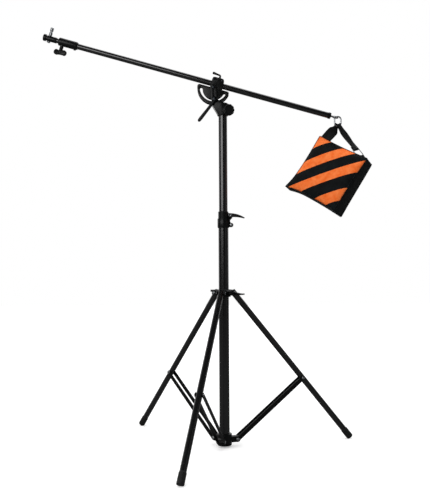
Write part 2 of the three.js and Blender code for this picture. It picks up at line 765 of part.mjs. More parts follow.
// Tilt lever on the bolt that runs in the curved slots
function make_tilt_lever(parent) {
  const inner = -fork_outer_face - running_gap;
  const outer = inner - tilt_lever_thickness;
  const half = tilt_lever_width / 2;
  const shape = new THREE.Shape();
  shape.absarc(0, 0, half, Math.PI / 2, 1.5 * Math.PI, false);
  shape.absarc(tilt_lever_length - half, 0, half, -Math.PI / 2, Math.PI / 2, false);
  const hole = slot_bolt_diameter + 2 * running_gap;
  const ease = tilt_lever_width / 5;
  const hub = tilt_lever_hub_diameter / 2;
  const lever = upright_eased(shape, outer, inner, ease)
    .add(turned_across([
      [0, outer], [hub - ease / 2, outer], [hub, outer + ease], [hub, inner], [0, inner],
    ], 0, 0, small_sides))
    .subtract(cross_pin(hole, 0, 0, outer - cut_overrun, inner + cut_overrun));
  const turn = new THREE.Group();
  turn.position.set(slot_bolt_x, 0, slot_bolt_z);
  const swing = new THREE.Matrix4().makeRotationY(-radians(tilt_lever_angle));
  piece("tilt_lever", placed(lever, swing), black_casting(), turn);

  const bolt = cross_screw(slot_bolt_diameter, slot_spacer_diameter, 0, 0,
    outer - running_gap, fork_outer_face + running_gap);
  piece("slot_bolt", bolt, zinc_steel(), turn);
  const spacer_half = plate_face - running_gap;
  const spacer = cross_pin(slot_spacer_diameter, 0, 0, -spacer_half, spacer_half, small_sides)
    .subtract(cross_pin(hole, 0, 0, -spacer_half - cut_overrun, spacer_half + cut_overrun));
  piece("slot_spacer", spacer, zinc_steel(), turn);
  parent.add(turn);
}

// Half-moon plate in the boom's own frame: pivot at the origin, boom along X
const axis_height = boom_over_pivot;
const long_arc_parts = 2;

// A long arc about the origin, as a few shorter ones that take more facets together
function long_arc(path, radius, from, to) {
  const step = (to - from) / long_arc_parts;
  for (let i = 0; i < long_arc_parts; i += 1) {
    path.absarc(0, 0, radius, from + i * step, from + (i + 1) * step, step < 0);
  }
}

function moon_outline() {
  const corner = moon_corner_radius;
  const reach = moon_radius - corner;
  const level = -moon_chord_drop - corner;
  const corner_x = Math.sqrt(reach ** 2 - level ** 2);
  const corner_angle = Math.atan2(level, corner_x);
  const left = clamp_shift - tab_width / 2;
  const right = clamp_shift + tab_width / 2;
  const top = axis_height + tab_height;
  const shape = new THREE.Shape();
  shape.moveTo(right, -moon_chord_drop);
  shape.absarc(corner_x, level, corner, Math.PI / 2, corner_angle, true);
  long_arc(shape, moon_radius, corner_angle, -Math.PI - corner_angle);
  shape.absarc(-corner_x, level, corner, Math.PI - corner_angle, Math.PI / 2, true);
  shape.lineTo(left, -moon_chord_drop);
  shape.absarc(left + tab_corner, top - tab_corner, tab_corner, Math.PI, Math.PI / 2, true);
  shape.absarc(right - tab_corner, top - tab_corner, tab_corner, Math.PI / 2, 0, true);

  const half = radians(slot_half_angle);
  const from = -Math.PI / 2 - half;
  const to = -Math.PI / 2 + half;
  const end = slot_width / 2;
  const slot = new THREE.Path();
  long_arc(slot, slot_radius + end, from, to);
  slot.absarc(slot_radius * Math.cos(to), slot_radius * Math.sin(to), end, to, to + Math.PI, false);
  long_arc(slot, slot_radius - end, to, from);
  slot.absarc(slot_radius * Math.cos(from), slot_radius * Math.sin(from), end, from + Math.PI, from, false);
  shape.holes.push(slot);
  return shape;
}

// Lays a body that was turned about Z out along the boom
function along_boom(solid, across = 0) {
  const turn = new THREE.Matrix4().makeRotationY(Math.PI / 2).setPosition(0, 0, axis_height + across);
  return placed(solid, turn);
}

function make_tilt_plates(parent) {
  const hole_reach = plate_outer_face + cut_overrun;
  const screw_z = axis_height + cap_screw_height;
  for (const [side, front, back] of [
    ["front", -plate_outer_face, -plate_face], ["back", plate_face, plate_outer_face],
  ]) {
    let plate = upright(moon_outline(), front, back, moon_segments)
      .subtract(cross_pin(pivot_bolt_diameter + 2 * running_gap, 0, 0, -hole_reach, hole_reach));
    for (const way of [-1, 1]) {
      plate = plate.subtract(cross_pin(cap_screw_diameter + 2 * running_gap,
        clamp_shift + (way * cap_screw_spread) / 2, screw_z, -hole_reach, hole_reach));
    }
    piece(`tilt_plate_${side}`, plate, satin_black_metal(), parent);
  }
}

// Saddle below the boom, cap above it, the brake pad and the two cap screws
function make_boom_clamp(parent) {
  const half = plate_face - running_gap;
  const room = along_boom(rod(boom_outer + 2 * running_gap, clamp_shift - tab_width, clamp_shift + tab_width,
    tube_sides));
  const left = clamp_shift - saddle_length / 2;
  const right = clamp_shift + saddle_length / 2;
  const saddle_top = axis_height - cap_edge_height;
  const saddle_shape = new THREE.Shape();
  saddle_shape.moveTo(left, saddle_top);
  saddle_shape.lineTo(left, -saddle_depth / 2);
  saddle_shape.lineTo(left + saddle_depth / 2, -saddle_depth);
  saddle_shape.lineTo(right - saddle_depth / 2, -saddle_depth);
  saddle_shape.lineTo(right, -saddle_depth / 2);
  saddle_shape.lineTo(right, saddle_top);
  const saddle = upright(saddle_shape, -half, half)
    .subtract(room)
    .subtract(cross_pin(pivot_bolt_diameter + 2 * running_gap, 0, 0, -half - cut_overrun, half + cut_overrun));
  piece("boom_saddle", saddle, black_casting(), parent);

  const cap_left = clamp_shift - tab_width / 2;
  const cap_right = clamp_shift + tab_width / 2;
  const cap_bottom = axis_height + cap_edge_height;
  const cap_top = axis_height + cap_height;
  const cap_shape = new THREE.Shape();
  cap_shape.moveTo(cap_left, cap_bottom);
  cap_shape.lineTo(cap_right, cap_bottom);
  cap_shape.absarc(cap_right - tab_corner, cap_top - tab_corner, tab_corner, 0, Math.PI / 2, false);
  cap_shape.absarc(cap_left + tab_corner, cap_top - tab_corner, tab_corner, Math.PI / 2, Math.PI, false);
  const screw_x = clamp_shift + boom_screw_offset;
  const pad_bottom = axis_height + boom_outer / 2;
  const pad_top = pad_bottom + pad_thickness;
  const pad_half = pad_length / 2;
  const pocket = solid_of(new THREE.BoxGeometry(pad_length + 2 * running_gap, pad_length, 2 * pad_half)
    .translate(screw_x, 0, pad_top + running_gap - pad_half));
  let cap = upright(cap_shape, -half, half)
    .subtract(room)
    .subtract(pocket)
    .subtract(moved(rod(boom_screw_diameter + 2 * running_gap, pad_bottom, cap_top + cut_overrun, pin_sides),
      screw_x, 0, 0));
  for (const way of [-1, 1]) {
    const x = clamp_shift + (way * cap_screw_spread) / 2;
    const z = axis_height + cap_screw_height;
    cap = cap.subtract(cross_pin(cap_screw_diameter + 2 * running_gap, x, z,
      -half - cut_overrun, half + cut_overrun));
    const screw = cross_screw(cap_screw_diameter, hexagon(hex_across_flats - 2 * running_gap), x, z,
      -plate_outer_face - running_gap, plate_outer_face + running_gap);
    piece(way < 0 ? "cap_screw_left" : "cap_screw_right", screw, zinc_steel(), parent);
  }
  piece("boom_cap", cap, black_casting(), parent);

  const pad_width = pad_length - 2 * running_gap;
  const pad = solid_of(new THREE.BoxGeometry(pad_length, pad_width, 2 * pad_thickness)
    .translate(screw_x, 0, pad_top - pad_thickness))
    .subtract(room);
  piece("brake_pad", pad, black_rubber(), parent);
}

// Bent handle of the boom lock, above its screw
function make_boom_lever(parent) {
  const screw_x = clamp_shift + boom_screw_offset;
  const foot = axis_height + boom_outer / 2 + pad_thickness + running_gap;
  const cap_top = axis_height + cap_height;
  const bend = cap_top + boom_lever_stem;
  const radius = boom_lever_diameter / 2;
  const stem = turned([
    [0, foot], [boom_screw_diameter / 2, foot], [boom_screw_diameter / 2, cap_top + running_gap],
    [boom_screw_diameter * boom_lever_neck_share, cap_top + running_gap], [radius, cap_top + 2 * boom_screw_diameter / 3],
    [radius, bend], [0, bend + radius],
  ], small_sides);
  const arm_length = Math.hypot(boom_lever_reach, boom_lever_rise);
  const arm = turned([
    [0, -radius], [radius, 0], [radius, arm_length - radius], [radius / 2, arm_length], [0, arm_length],
  ], small_sides);
  const lean = -Math.atan2(boom_lever_reach, boom_lever_rise);
  const turn = new THREE.Matrix4().makeRotationY(lean).setPosition(0, 0, bend);
  piece("boom_lock_lever", moved(stem.add(placed(arm, turn)), screw_x, 0, 0), black_casting(), parent);
}

// A closed loop of round wire: the path gives a point and an outward direction for a turn from 0 to 1
function wire_loop(path, steps, wire, sides, across) {
  const positions = [];
  const triangles = [];
  for (let i = 0; i < steps; i += 1) {
    const { point, outward } = path(i / steps);
    for (let j = 0; j < sides; j += 1) {
      const angle = (2 * Math.PI * j) / sides;
      const corner = point.clone()
        .addScaledVector(outward, (wire / 2) * Math.cos(angle))
        .addScaledVector(across, (wire / 2) * Math.sin(angle));
      positions.push(corner.x, corner.y, corner.z);
      const next_ring = ((i + 1) % steps) * sides;
      const next_side = (j + 1) % sides;
      const [a, b] = [i * sides + j, i * sides + next_side];
      const [c, d] = [next_ring + j, next_ring + next_side];
      triangles.push(a, b, c, b, d, c);
    }
  }
  const geometry = new THREE.BufferGeometry();
  geometry.setAttribute("position", new THREE.Float32BufferAttribute(positions, 3));
  geometry.setIndex(triangles);
  return outward_facing(geometry);
}

// Turns a closed form's faces outwards, whichever way its loop ran
function outward_facing(geometry) {
  const solid = solid_of(geometry);
  if (solid.volume() > 0) return solid;
  const corners = geometry.index.array;
  for (let i = 0; i < corners.length; i += 3) {
    [corners[i + 1], corners[i + 2]] = [corners[i + 2], corners[i + 1]];
  }
  return solid_of(geometry);
}

// Boom tubes with the front collar and its wing knob
const front_collar_start = -boom_front_reach - front_collar_lip;
const wing_knob_at = front_collar_start + wing_knob_from_collar;
const tip_end = front_collar_start - tip_gap;
const tip_start = tip_end - tip_length;
const collar_radius = front_collar_outer / 2;

// Lays a body that was turned about Z down below the boom at a place along it
function below_boom(solid, at) {
  const turn = new THREE.Matrix4().makeRotationX(Math.PI).setPosition(at, 0, axis_height);
  return placed(solid, turn);
}

function make_boom(parent) {
  const inner = boom_outer - 2 * boom_wall;
  const hole = below_boom(rod(knob_hole, 0, collar_radius + cut_overrun, pin_sides), wing_knob_at);
  const outer_tube = along_boom(tube(boom_outer, inner, -boom_front_reach, boom_rear_reach, tube_sides));
  piece("boom_tube", outer_tube.subtract(hole), satin_black_metal(), parent);

  const end = front_collar_start + front_collar_length;
  const ease = front_collar_lip / 2;
  const boss = below_boom(rod(2 * knob_screw_diameter, 0, collar_radius + wing_boss_height, small_sides),
    wing_knob_at);
  const bump = below_boom(rod(2 * front_collar_bump, 0, collar_radius + front_collar_bump / 2, pin_sides),
    end - 2 * front_collar_bump);
  const collar = along_boom(turned([
    [0, front_collar_start], [collar_radius - ease, front_collar_start],
    [collar_radius, front_collar_start + ease], [collar_radius, end - 2 * ease],
    [collar_radius - ease, end], [0, end],
  ], tube_sides))
    .add(boss)
    .add(bump)
    .subtract(along_boom(rod(boom_outer + 2 * running_gap, -boom_front_reach - running_gap,
      end + cut_overrun, tube_sides)))
    .subtract(along_boom(rod(inner_boom_outer + 2 * running_gap, front_collar_start - cut_overrun,
      0, tube_sides)))
    .subtract(below_boom(rod(knob_hole, 0, collar_radius + wing_boss_height + cut_overrun, pin_sides),
      wing_knob_at));
  piece("boom_front_collar", collar, black_casting(), parent);
}

function make_wing_knob(parent) {
  const start = collar_radius + wing_boss_height + running_gap;
  const half = wing_knob_span / 2;
  const lobe = wing_knob_depth / 2;
  const top = wing_knob_drop - lobe;
  const bottom = wing_knob_drop + lobe;
  const shape = new THREE.Shape();
  shape.absarc(half - lobe, wing_knob_drop, lobe, -Math.PI / 2, Math.PI / 2, false);
  shape.lineTo(lobe - half, bottom);
  shape.absarc(lobe - half, wing_knob_drop, lobe, Math.PI / 2, 1.5 * Math.PI, false);
  shape.quadraticCurveTo(0, top + lobe / 2, half - lobe, top);
  const thickness = wing_knob_thickness / 2;
  const knob = upright_eased(shape, -thickness, thickness, thickness / 3)
    .add(rod(wing_knob_stem, start, wing_knob_drop + lobe / 2, small_sides))
    .subtract(rod(knob_hole, 0, wing_knob_drop + running_gap, pin_sides));
  const turn = new THREE.Matrix4().makeRotationZ(radians(wing_knob_turn));
  piece("wing_knob", below_boom(placed(knob, turn), wing_knob_at), black_casting(), parent);
  const tip = inner_boom_outer / 2 + running_gap;
  piece("wing_knob_screw", below_boom(rod(knob_screw_diameter, tip, wing_knob_drop, pin_sides), wing_knob_at),
    zinc_steel(), parent);
}

// Inner tube with the tip fitting and its stud
function make_extension(parent) {
  const socket_end = tip_end - tip_plug_depth;
  const inner = inner_boom_outer - 2 * inner_boom_wall;
  const tube_start = socket_end + running_gap;
  const extension = along_boom(tube(inner_boom_outer, inner, tube_start, inner_boom_rear_reach, leg_sides));
  piece("boom_inner_tube", extension, satin_black_metal(), parent);

  const radius = tip_outer / 2;
  const rim = tip_flange_outer / 2;
  const neck = tip_neck_outer / 2;
  const ease = tip_flange_length / 6;
  const flange_end = tip_start + tip_flange_length;
  const neck_end = flange_end + tip_neck_length;
  const seat = radius - ease / 2;
  const stud_at = tip_start + stud_from_tip;
  const flat_length = stud_diameter + 2 * ease;
  let tip = along_boom(turned([
    [0, tip_start], [rim - ease, tip_start], [rim, tip_start + ease], [rim, flange_end],
    [neck, flange_end], [neck, neck_end], [radius, neck_end], [radius, tip_end - ease],
    [radius - ease / 2, tip_end], [0, tip_end],
  ], leg_sides))
    .subtract(along_boom(rod(inner_boom_outer + 2 * running_gap, socket_end, tip_end + cut_overrun,
      leg_sides)));
  for (const way of [-1, 1]) {
    const flat_cut = solid_of(new THREE.BoxGeometry(flat_length, 2 * tip_outer, tip_outer)
      .translate(stud_at, 0, axis_height + way * (seat + tip_outer / 2)));
    tip = tip.subtract(flat_cut);
  }
  tip = tip.subtract(moved(rod(stud_thread_diameter + 2 * running_gap, 0, 2 * axis_height + tip_outer,
    pin_sides), stud_at, 0, -axis_height / 2));
  piece("tip_fitting", tip, black_casting(), parent);

  const foot = axis_height + seat + running_gap;
  const top = foot + stud_height;
  const neck_bottom = foot + (stud_height - stud_neck_height) / 2;
  const neck_top = neck_bottom + stud_neck_height;
  const nut_top = axis_height - seat - running_gap;
  const nut_bottom = nut_top - stud_nut_height;
  const thread = stud_thread_diameter / 2;
  const body = stud_diameter / 2;
  const waist = stud_neck_diameter / 2;
  const stud = moved(turned([
    [0, nut_bottom - ease], [thread, nut_bottom - ease], [thread, foot], [body, foot],
    [body, neck_bottom], [waist, neck_bottom + ease], [waist, neck_top - ease], [body, neck_top],
    [body, top - ease], [body - ease, top], [0, top],
  ], small_sides), stud_at, 0, 0);
  piece("tip_stud", stud, zinc_steel(), parent);
  const nut = moved(rod(hexagon(stud_diameter), nut_bottom, nut_top, 6)
    .subtract(rod(stud_thread_diameter + 2 * running_gap, nut_bottom - cut_overrun, nut_top + cut_overrun,
      pin_sides)), stud_at, 0, 0);
  piece("tip_stud_nut", nut, zinc_steel(), parent);
}

// Rear plug and the eye bolt that it holds
const plug_start = boom_rear_reach + running_gap;
const plug_end = plug_start + rear_plug_length;
const eye_at = plug_end + rear_eye_from_plug - rear_eye_radius;
const eye_wire_at = eye_at + rear_eye_radius;

function make_rear_hook(parent) {
  const rim = rear_plug_outer / 2;
  const spigot = boom_outer / 2 - boom_wall - running_gap;
  const ease = rear_plug_length / 5;
  const spigot_start = boom_rear_reach - rear_spigot_share * rear_plug_length;
  const shank_start = spigot_start + ease;
  const shank_hole = rear_shank_diameter + 2 * running_gap;
  const plug = along_boom(turned([
    [0, spigot_start], [spigot, spigot_start], [spigot, plug_start], [rim, plug_start],
    [rim, plug_end - ease], [rim - ease, plug_end], [0, plug_end],
  ], tube_sides).subtract(rod(shank_hole, shank_start - running_gap, plug_end + cut_overrun, small_sides)));
  piece("rear_plug", plug, black_casting(), parent);

  const ring = solid_of(new THREE.TorusGeometry(rear_eye_radius, rear_eye_wire / 2, wire_sides, leg_sides)
    .translate(eye_at, 0, axis_height));
  const shank = along_boom(rod(rear_shank_diameter, shank_start, eye_at - rear_eye_radius, small_sides));
  piece("rear_eye", ring.add(shank), zinc_steel(), parent);
}

// Oval ring that hangs from the far side of the eye, in the vertical plane of the boom
const tilt = radians(boom_tilt);
const hook_x = -pivot_offset + eye_wire_at * Math.cos(tilt) + axis_height * Math.sin(tilt);
const hook_z = pivot_height - eye_wire_at * Math.sin(tilt) + axis_height * Math.cos(tilt);
const ring_middle = (ring_height - ring_wire) / 2;
const ring_z = hook_z + rear_eye_wire / 2 + running_gap + ring_wire / 2 - ring_middle;
const ring_round = (ring_width - ring_wire) / 2;

function make_ring(parent) {
  const straight = ring_middle - ring_round;
  const quarter = leg_sides / 4;
  const centres = [straight, straight, -straight, -straight];
  const path = (share) => {
    const step = Math.round(share * (leg_sides + 4));
    const side = Math.floor(step / (quarter + 1));
    const angle = ((step - side) / leg_sides) * 2 * Math.PI;
    const outward = new THREE.Vector3(Math.cos(angle), 0, Math.sin(angle));
    const point = outward.clone().multiplyScalar(ring_round);
    point.add(new THREE.Vector3(hook_x, 0, ring_z + centres[side]));
    return { point, outward };
  };
  const ring = wire_loop(path, leg_sides + 4, ring_wire, wire_sides, new THREE.Vector3(0, 1, 0));
  piece("hang_ring", ring, zinc_steel(), parent);
}

// Counterweight bag: a crowned, gusseted form, made about its middle with its face to -Y.
// The sand has settled towards one side, which is fuller.
const ring_bottom_z = ring_z - ring_middle;
const ring_hollow = ring_round - ring_wire / 2 - running_gap;
const strap_lift = ring_hollow - Math.sqrt(ring_hollow ** 2 - (strap_gathered_width / 2) ** 2);
const strap_over_wire = ring_wire / 2 + running_gap + strap_thickness / 2 + strap_lift;
const strap_rest_z = ring_bottom_z + strap_over_wire;

function bag_frame() {
  const turn = new THREE.Matrix4().makeRotationZ(radians(-bag_yaw))
    .multiply(new THREE.Matrix4().makeRotationX(radians(-bag_pitch)))
    .multiply(new THREE.Matrix4().makeRotationY(radians(bag_roll)));
  return turn.setPosition(hook_x + bag_side_shift, 0, strap_rest_z - bag_drop);
}

function bag_form(extra) {
  const steps = bag_steps;
  const half_width = bag_width / 2 + extra;
  const half_height = bag_height / 2 + extra;
  const half_depth = bag_thickness / 2 + extra;
  const surface = (u, v, side) => {
    const crown = Math.sqrt((1 - u ** 4) * (1 - v ** 4));
    const fullness = 1 + bag_fuller_share * u;
    const depth = half_depth * fullness * (bag_gusset_share + (1 - bag_gusset_share) * crown);
    const x = u * half_width * (1 - bag_waist_share * (1 - v ** 2));
    const z = v * half_height * (1 - bag_waist_share * (1 - u ** 2));
    return [x, side * depth, z];
  };
  const positions = [];
  const triangles = [];
  const grid = (side) => {
    const start = positions.length / 3;
    for (let i = 0; i <= steps; i += 1) {
      for (let j = 0; j <= steps; j += 1) {
        positions.push(...surface((2 * i) / steps - 1, (2 * j) / steps - 1, side));
      }
    }
    for (let i = 0; i < steps; i += 1) {
      for (let j = 0; j < steps; j += 1) {
        const a = start + i * (steps + 1) + j;
        const b = a + steps + 1;
        if (side > 0) triangles.push(a, a + 1, b, b, a + 1, b + 1);
        else triangles.push(a, b, a + 1, b, b + 1, a + 1);
      }
    }
    return start;
  };
  const front = grid(-1);
  const back = grid(1);
  const rim = [];
  for (let i = 0; i < steps; i += 1) rim.push(i * (steps + 1));
  for (let j = 0; j < steps; j += 1) rim.push(steps * (steps + 1) + j);
  for (let i = steps; i > 0; i -= 1) rim.push(i * (steps + 1) + steps);
  for (let j = steps; j > 0; j -= 1) rim.push(j);
  rim.forEach((corner, index) => {
    const next = rim[(index + 1) % rim.length];
    triangles.push(front + corner, back + corner, front + next, back + corner, back + next, front + next);
  });
  const geometry = new THREE.BufferGeometry();
  geometry.setAttribute("position", new THREE.Float32BufferAttribute(positions, 3));
  geometry.setIndex(triangles);
  return outward_facing(geometry.applyMatrix4(bag_frame()));
}

// Webbing from one top corner of the bag through the ring to the other corner
function strap_station(point, across, width) {
  return { point, across: across.normalize(), width };
}

function strap_stations() {
  const frame = bag_frame();
  const corner = (way) => new THREE.Vector3((way * (bag_width - strap_width)) / 2, 0, bag_height / 2 - strap_width / 3)
    .applyMatrix4(frame);
  const face_across = new THREE.Vector3(1, 0, 0).transformDirection(frame);
  const depth_across = new THREE.Vector3(0, 1, 0).transformDirection(frame);
  const ring_across = new THREE.Vector3(1, 0, 0);
  const wrap = strap_over_wire / Math.cos(Math.PI / 8);
  const over_wire = (angle) => new THREE.Vector3(hook_x, wrap * Math.cos(angle),
    ring_bottom_z + wrap * Math.sin(angle));
  const back = over_wire(0);
  const front = over_wire(Math.PI);
  const left = corner(-1);
  const right = corner(1);
  const stations = [];
  const left_share = [0, 0.3, 0.6, 0.85];
  left_share.forEach((share) => {
    const point = left.clone().lerp(back, share);
    const across = face_across.clone().lerp(ring_across, share);
    const gather = share ** strap_gather_power;
    stations.push(strap_station(point, across, THREE.MathUtils.lerp(strap_width, strap_gathered_width, gather)));
  });
  for (let quarter = 0; quarter <= 4; quarter += 1) {
    const point = over_wire((quarter * Math.PI) / 4);
    stations.push(strap_station(point, ring_across.clone(), strap_gathered_width));
  }
  const right_share = [0.15, 0.3, strap_turn_share, 0.5, 0.6, strap_turned_share, 1];
  right_share.forEach((share) => {
    const point = front.clone().lerp(right, share);
    const turn = THREE.MathUtils.smoothstep(share, strap_turn_share, strap_turned_share);
    const across = ring_across.clone().lerp(depth_across, turn);
    const spread = 1 - (1 - share) ** strap_gather_power;
    stations.push(strap_station(point, across, THREE.MathUtils.lerp(strap_gathered_width, strap_width, spread)));
  });
  return stations;
}

function strap_solid(stations) {
  const positions = [];
  const triangles = [];
  stations.forEach((station, index) => {
    const before = stations[Math.max(index - 1, 0)].point;
    const after = stations[Math.min(index + 1, stations.length - 1)].point;
    const along = after.clone().sub(before).normalize();
    const across = station.across.clone().addScaledVector(along, -station.across.dot(along)).normalize();
    const normal = along.clone().cross(across);
    for (const [side, face] of [[-1, -1], [1, -1], [1, 1], [-1, 1]]) {
      const corner = station.point.clone()
        .addScaledVector(across, (side * station.width) / 2)
        .addScaledVector(normal, (face * strap_thickness) / 2);
      positions.push(corner.x, corner.y, corner.z);
    }
    if (index > 0) {
      const ring = 4 * index;
      for (let j = 0; j < 4; j += 1) {
        const k = (j + 1) % 4;
        triangles.push(ring - 4 + j, ring - 4 + k, ring + j, ring - 4 + k, ring + k, ring + j);
      }
    }
  });
  const last = 4 * (stations.length - 1);
  triangles.push(0, 2, 1, 0, 3, 2, last, last + 1, last + 2, last, last + 2, last + 3);
  const geometry = new THREE.BufferGeometry();
  geometry.setAttribute("position", new THREE.Float32BufferAttribute(positions, 3));
  geometry.setIndex(triangles);
  return outward_facing(geometry);
}

function make_bag(parent) {
  piece("sandbag", bag_form(0), woven_nylon(), parent);
  const stations = strap_stations();
  const strap = strap_solid(stations).subtract(bag_form(running_gap));
  piece("bag_strap", strap, woven_nylon(), parent);

  const from = stations[stations.length - 2].point;
  const to = stations[stations.length - 1].point;
  const along = to.clone().sub(from).normalize();
  const across = stations[stations.length - 2].across.clone();
  across.addScaledVector(along, -across.dot(along)).normalize();
  const normal = along.clone().cross(across);
  const half_across = strap_width / 2 + running_gap + keeper_wire / 2;
  const half_through = strap_thickness / 2 + running_gap + keeper_wire / 2;
  const middle = from.clone().lerp(to, keeper_place_share);
  const path = (share) => {
    const angle = 2 * Math.PI * share;
    const outward = across.clone().multiplyScalar(Math.cos(angle)).addScaledVector(normal, Math.sin(angle));
    const [c, n] = [Math.cos(angle), Math.sin(angle)];
    const square = Math.max(Math.abs(c), Math.abs(n));
    const point = middle.clone()
      .addScaledVector(across, (half_across * c) / square)
      .addScaledVector(normal, (half_through * n) / square);
    return { point, outward };
  };
  piece("strap_keeper", wire_loop(path, wire_sides, keeper_wire, wire_sides, along), zinc_steel(), parent);
}

make_base(stand);
for (let i = 0; i < leg_count; i += 1) {
  make_leg(i, stand);
  make_strut(i, stand);
}
make_collar(stand);
make_column_clamp(stand);
make_upper_column(stand);
make_head(stand);
make_round_knob(stand);
make_tilt_lever(stand);
const tilting = new THREE.Group();
tilting.position.set(-pivot_offset, 0, pivot_height);
tilting.rotation.y = radians(boom_tilt);
stand.add(tilting);
make_tilt_plates(tilting);
make_boom_clamp(tilting);
make_boom_lever(tilting);
make_boom(tilting);
make_wing_knob(tilting);
make_extension(tilting);
make_rear_hook(tilting);
make_ring(stand);
make_bag(stand);

// The origin is the middle of the foot print, on the floor
stand.updateMatrixWorld(true);
const box = new THREE.Box3().setFromObject(stand, true);
stand.position.set(-(box.min.x + box.max.x) / 2, -(box.min.y + box.max.y) / 2, -box.min.z);

export default stand;
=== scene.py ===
"""Overhead boom stand with a counterweight bag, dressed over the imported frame.

Lengths are in metres and the frame is the CAD model's: +Z up, +X towards the boom's rear end,
-Y towards the person at the locks. Millimetres are written as a number times mm.
"""
import math

import bmesh
import bpy
from mathutils import Matrix, Vector
from mathutils.bvhtree import BVHTree


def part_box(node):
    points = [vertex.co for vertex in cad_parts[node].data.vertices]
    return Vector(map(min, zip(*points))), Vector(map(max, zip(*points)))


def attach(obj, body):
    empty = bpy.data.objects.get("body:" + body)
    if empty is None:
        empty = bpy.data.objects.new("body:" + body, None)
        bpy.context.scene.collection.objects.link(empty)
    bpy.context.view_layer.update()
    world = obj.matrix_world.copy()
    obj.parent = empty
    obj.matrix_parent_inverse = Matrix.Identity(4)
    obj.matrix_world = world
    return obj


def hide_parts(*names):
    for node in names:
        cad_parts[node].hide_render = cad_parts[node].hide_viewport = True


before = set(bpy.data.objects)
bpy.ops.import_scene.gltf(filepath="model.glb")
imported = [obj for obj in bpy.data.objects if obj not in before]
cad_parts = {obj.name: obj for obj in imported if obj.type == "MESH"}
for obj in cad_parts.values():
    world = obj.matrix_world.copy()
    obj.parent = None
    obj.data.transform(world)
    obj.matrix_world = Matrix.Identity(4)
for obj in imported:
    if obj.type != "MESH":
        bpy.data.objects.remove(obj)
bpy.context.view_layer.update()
scene = bpy.context.scene
mm = 0.001


# Camera: the place, tilt and focal length at which the photograph's lines agree with the frame.
# It stands 2.4 m in front of the column, at a third of the stand's height, and looks slightly up.
photo_height_px = 491
focal_px = 704.85
sensor_height = 36.0
camera_offset = Vector((-29.5, -2436.1, 612.6)) * mm
camera_pitch = math.radians(1.81)
camera_roll = math.radians(-0.313)

column_low, column_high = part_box("upper_column_tube")
column = (column_low + column_high) / 2
column.z = 0

camera_data = bpy.data.cameras.new("photo_camera")
camera_data.sensor_fit = "VERTICAL"
camera_data.sensor_height = sensor_height
camera_data.lens = focal_px * sensor_height / photo_height_px
camera_data.clip_end = 60
camera = bpy.data.objects.new("photo_camera", camera_data)
scene.collection.objects.link(camera)
forward = Vector((0, math.cos(camera_pitch), math.sin(camera_pitch)))
level_up = Vector((0, -math.sin(camera_pitch), math.cos(camera_pitch)))
right = Vector((math.cos(camera_roll), 0, 0)) + level_up * math.sin(camera_roll)
up = level_up * math.cos(camera_roll) - Vector((math.sin(camera_roll), 0, 0))
turn = Matrix((right, up, -forward)).transposed().to_4x4()
camera.matrix_world = Matrix.Translation(column + camera_offset) @ turn
scene.camera = camera
scene.view_settings.view_transform = "Standard"


# Studio: a white room that only camera rays see at full strength, so the black metal stays black.
# Soft boxes stand left, above and right. The lit half of the room is behind the stand.
def linear(code):
    """An sRGB hex colour as linear RGBA."""
    parts = [int(code[i:i + 2], 16) / 255 for i in (1, 3, 5)]
    return [c / 12.92 if c <= 0.04045 else ((c + 0.055) / 1.055) ** 2.4 for c in parts] + [1.0]


def add(tree, kind, inputs=None, **settings):
    """Adds a node, with its settings, and values or links of its sockets by name or index.

    A link comes from a socket, or from a node, which stands for its first output.
    """
    made = tree.nodes.new(kind)
    for name, value in settings.items():
        setattr(made, name, value)
    for name, value in (inputs or {}).items():
        value = value.outputs[0] if isinstance(value, bpy.types.Node) else value
        if isinstance(value, bpy.types.NodeSocket):
            tree.links.new(value, made.inputs[name])
        else:
            made.inputs[name].default_value = value
    return made


room_white = 1.0
room_front_glow = 0.018
room_fill = 0.8
floor_white = linear("#f2f2f2")
floor_dim = linear("#6a6a6a")
floor_lift_near, floor_lift_far = 0.34, 0.72
floor_near, floor_far = 0.7, 2.6

world = bpy.data.worlds.new("white_room")
world.use_nodes = True
scene.world = world
tree = world.node_tree
tree.nodes.clear()
rays = add(tree, "ShaderNodeLightPath")
direction = add(tree, "ShaderNodeTexCoord")
split = add(tree, "ShaderNodeSeparateXYZ", {0: direction.outputs["Generated"]})
behind = add(tree, "ShaderNodeMapRange", {"Value": split.outputs["Y"], "From Min": 0.15, "From Max": 0.75,
                                          "To Min": room_front_glow, "To Max": room_white})
glossy = add(tree, "ShaderNodeMix", {0: rays.outputs["Is Glossy Ray"], 2: room_fill,
                                     3: behind}, data_type="FLOAT")
seen = add(tree, "ShaderNodeMath", {0: rays.outputs["Is Camera Ray"],
                                    1: rays.outputs["Is Transmission Ray"]}, operation="MAXIMUM")
strength = add(tree, "ShaderNodeMix", {0: seen, 2: glossy, 3: room_white}, data_type="FLOAT")
glow = add(tree, "ShaderNodeBackground", {"Color": (1, 1, 1, 1), "Strength": strength})
add(tree, "ShaderNodeOutputWorld", {"Surface": glow})

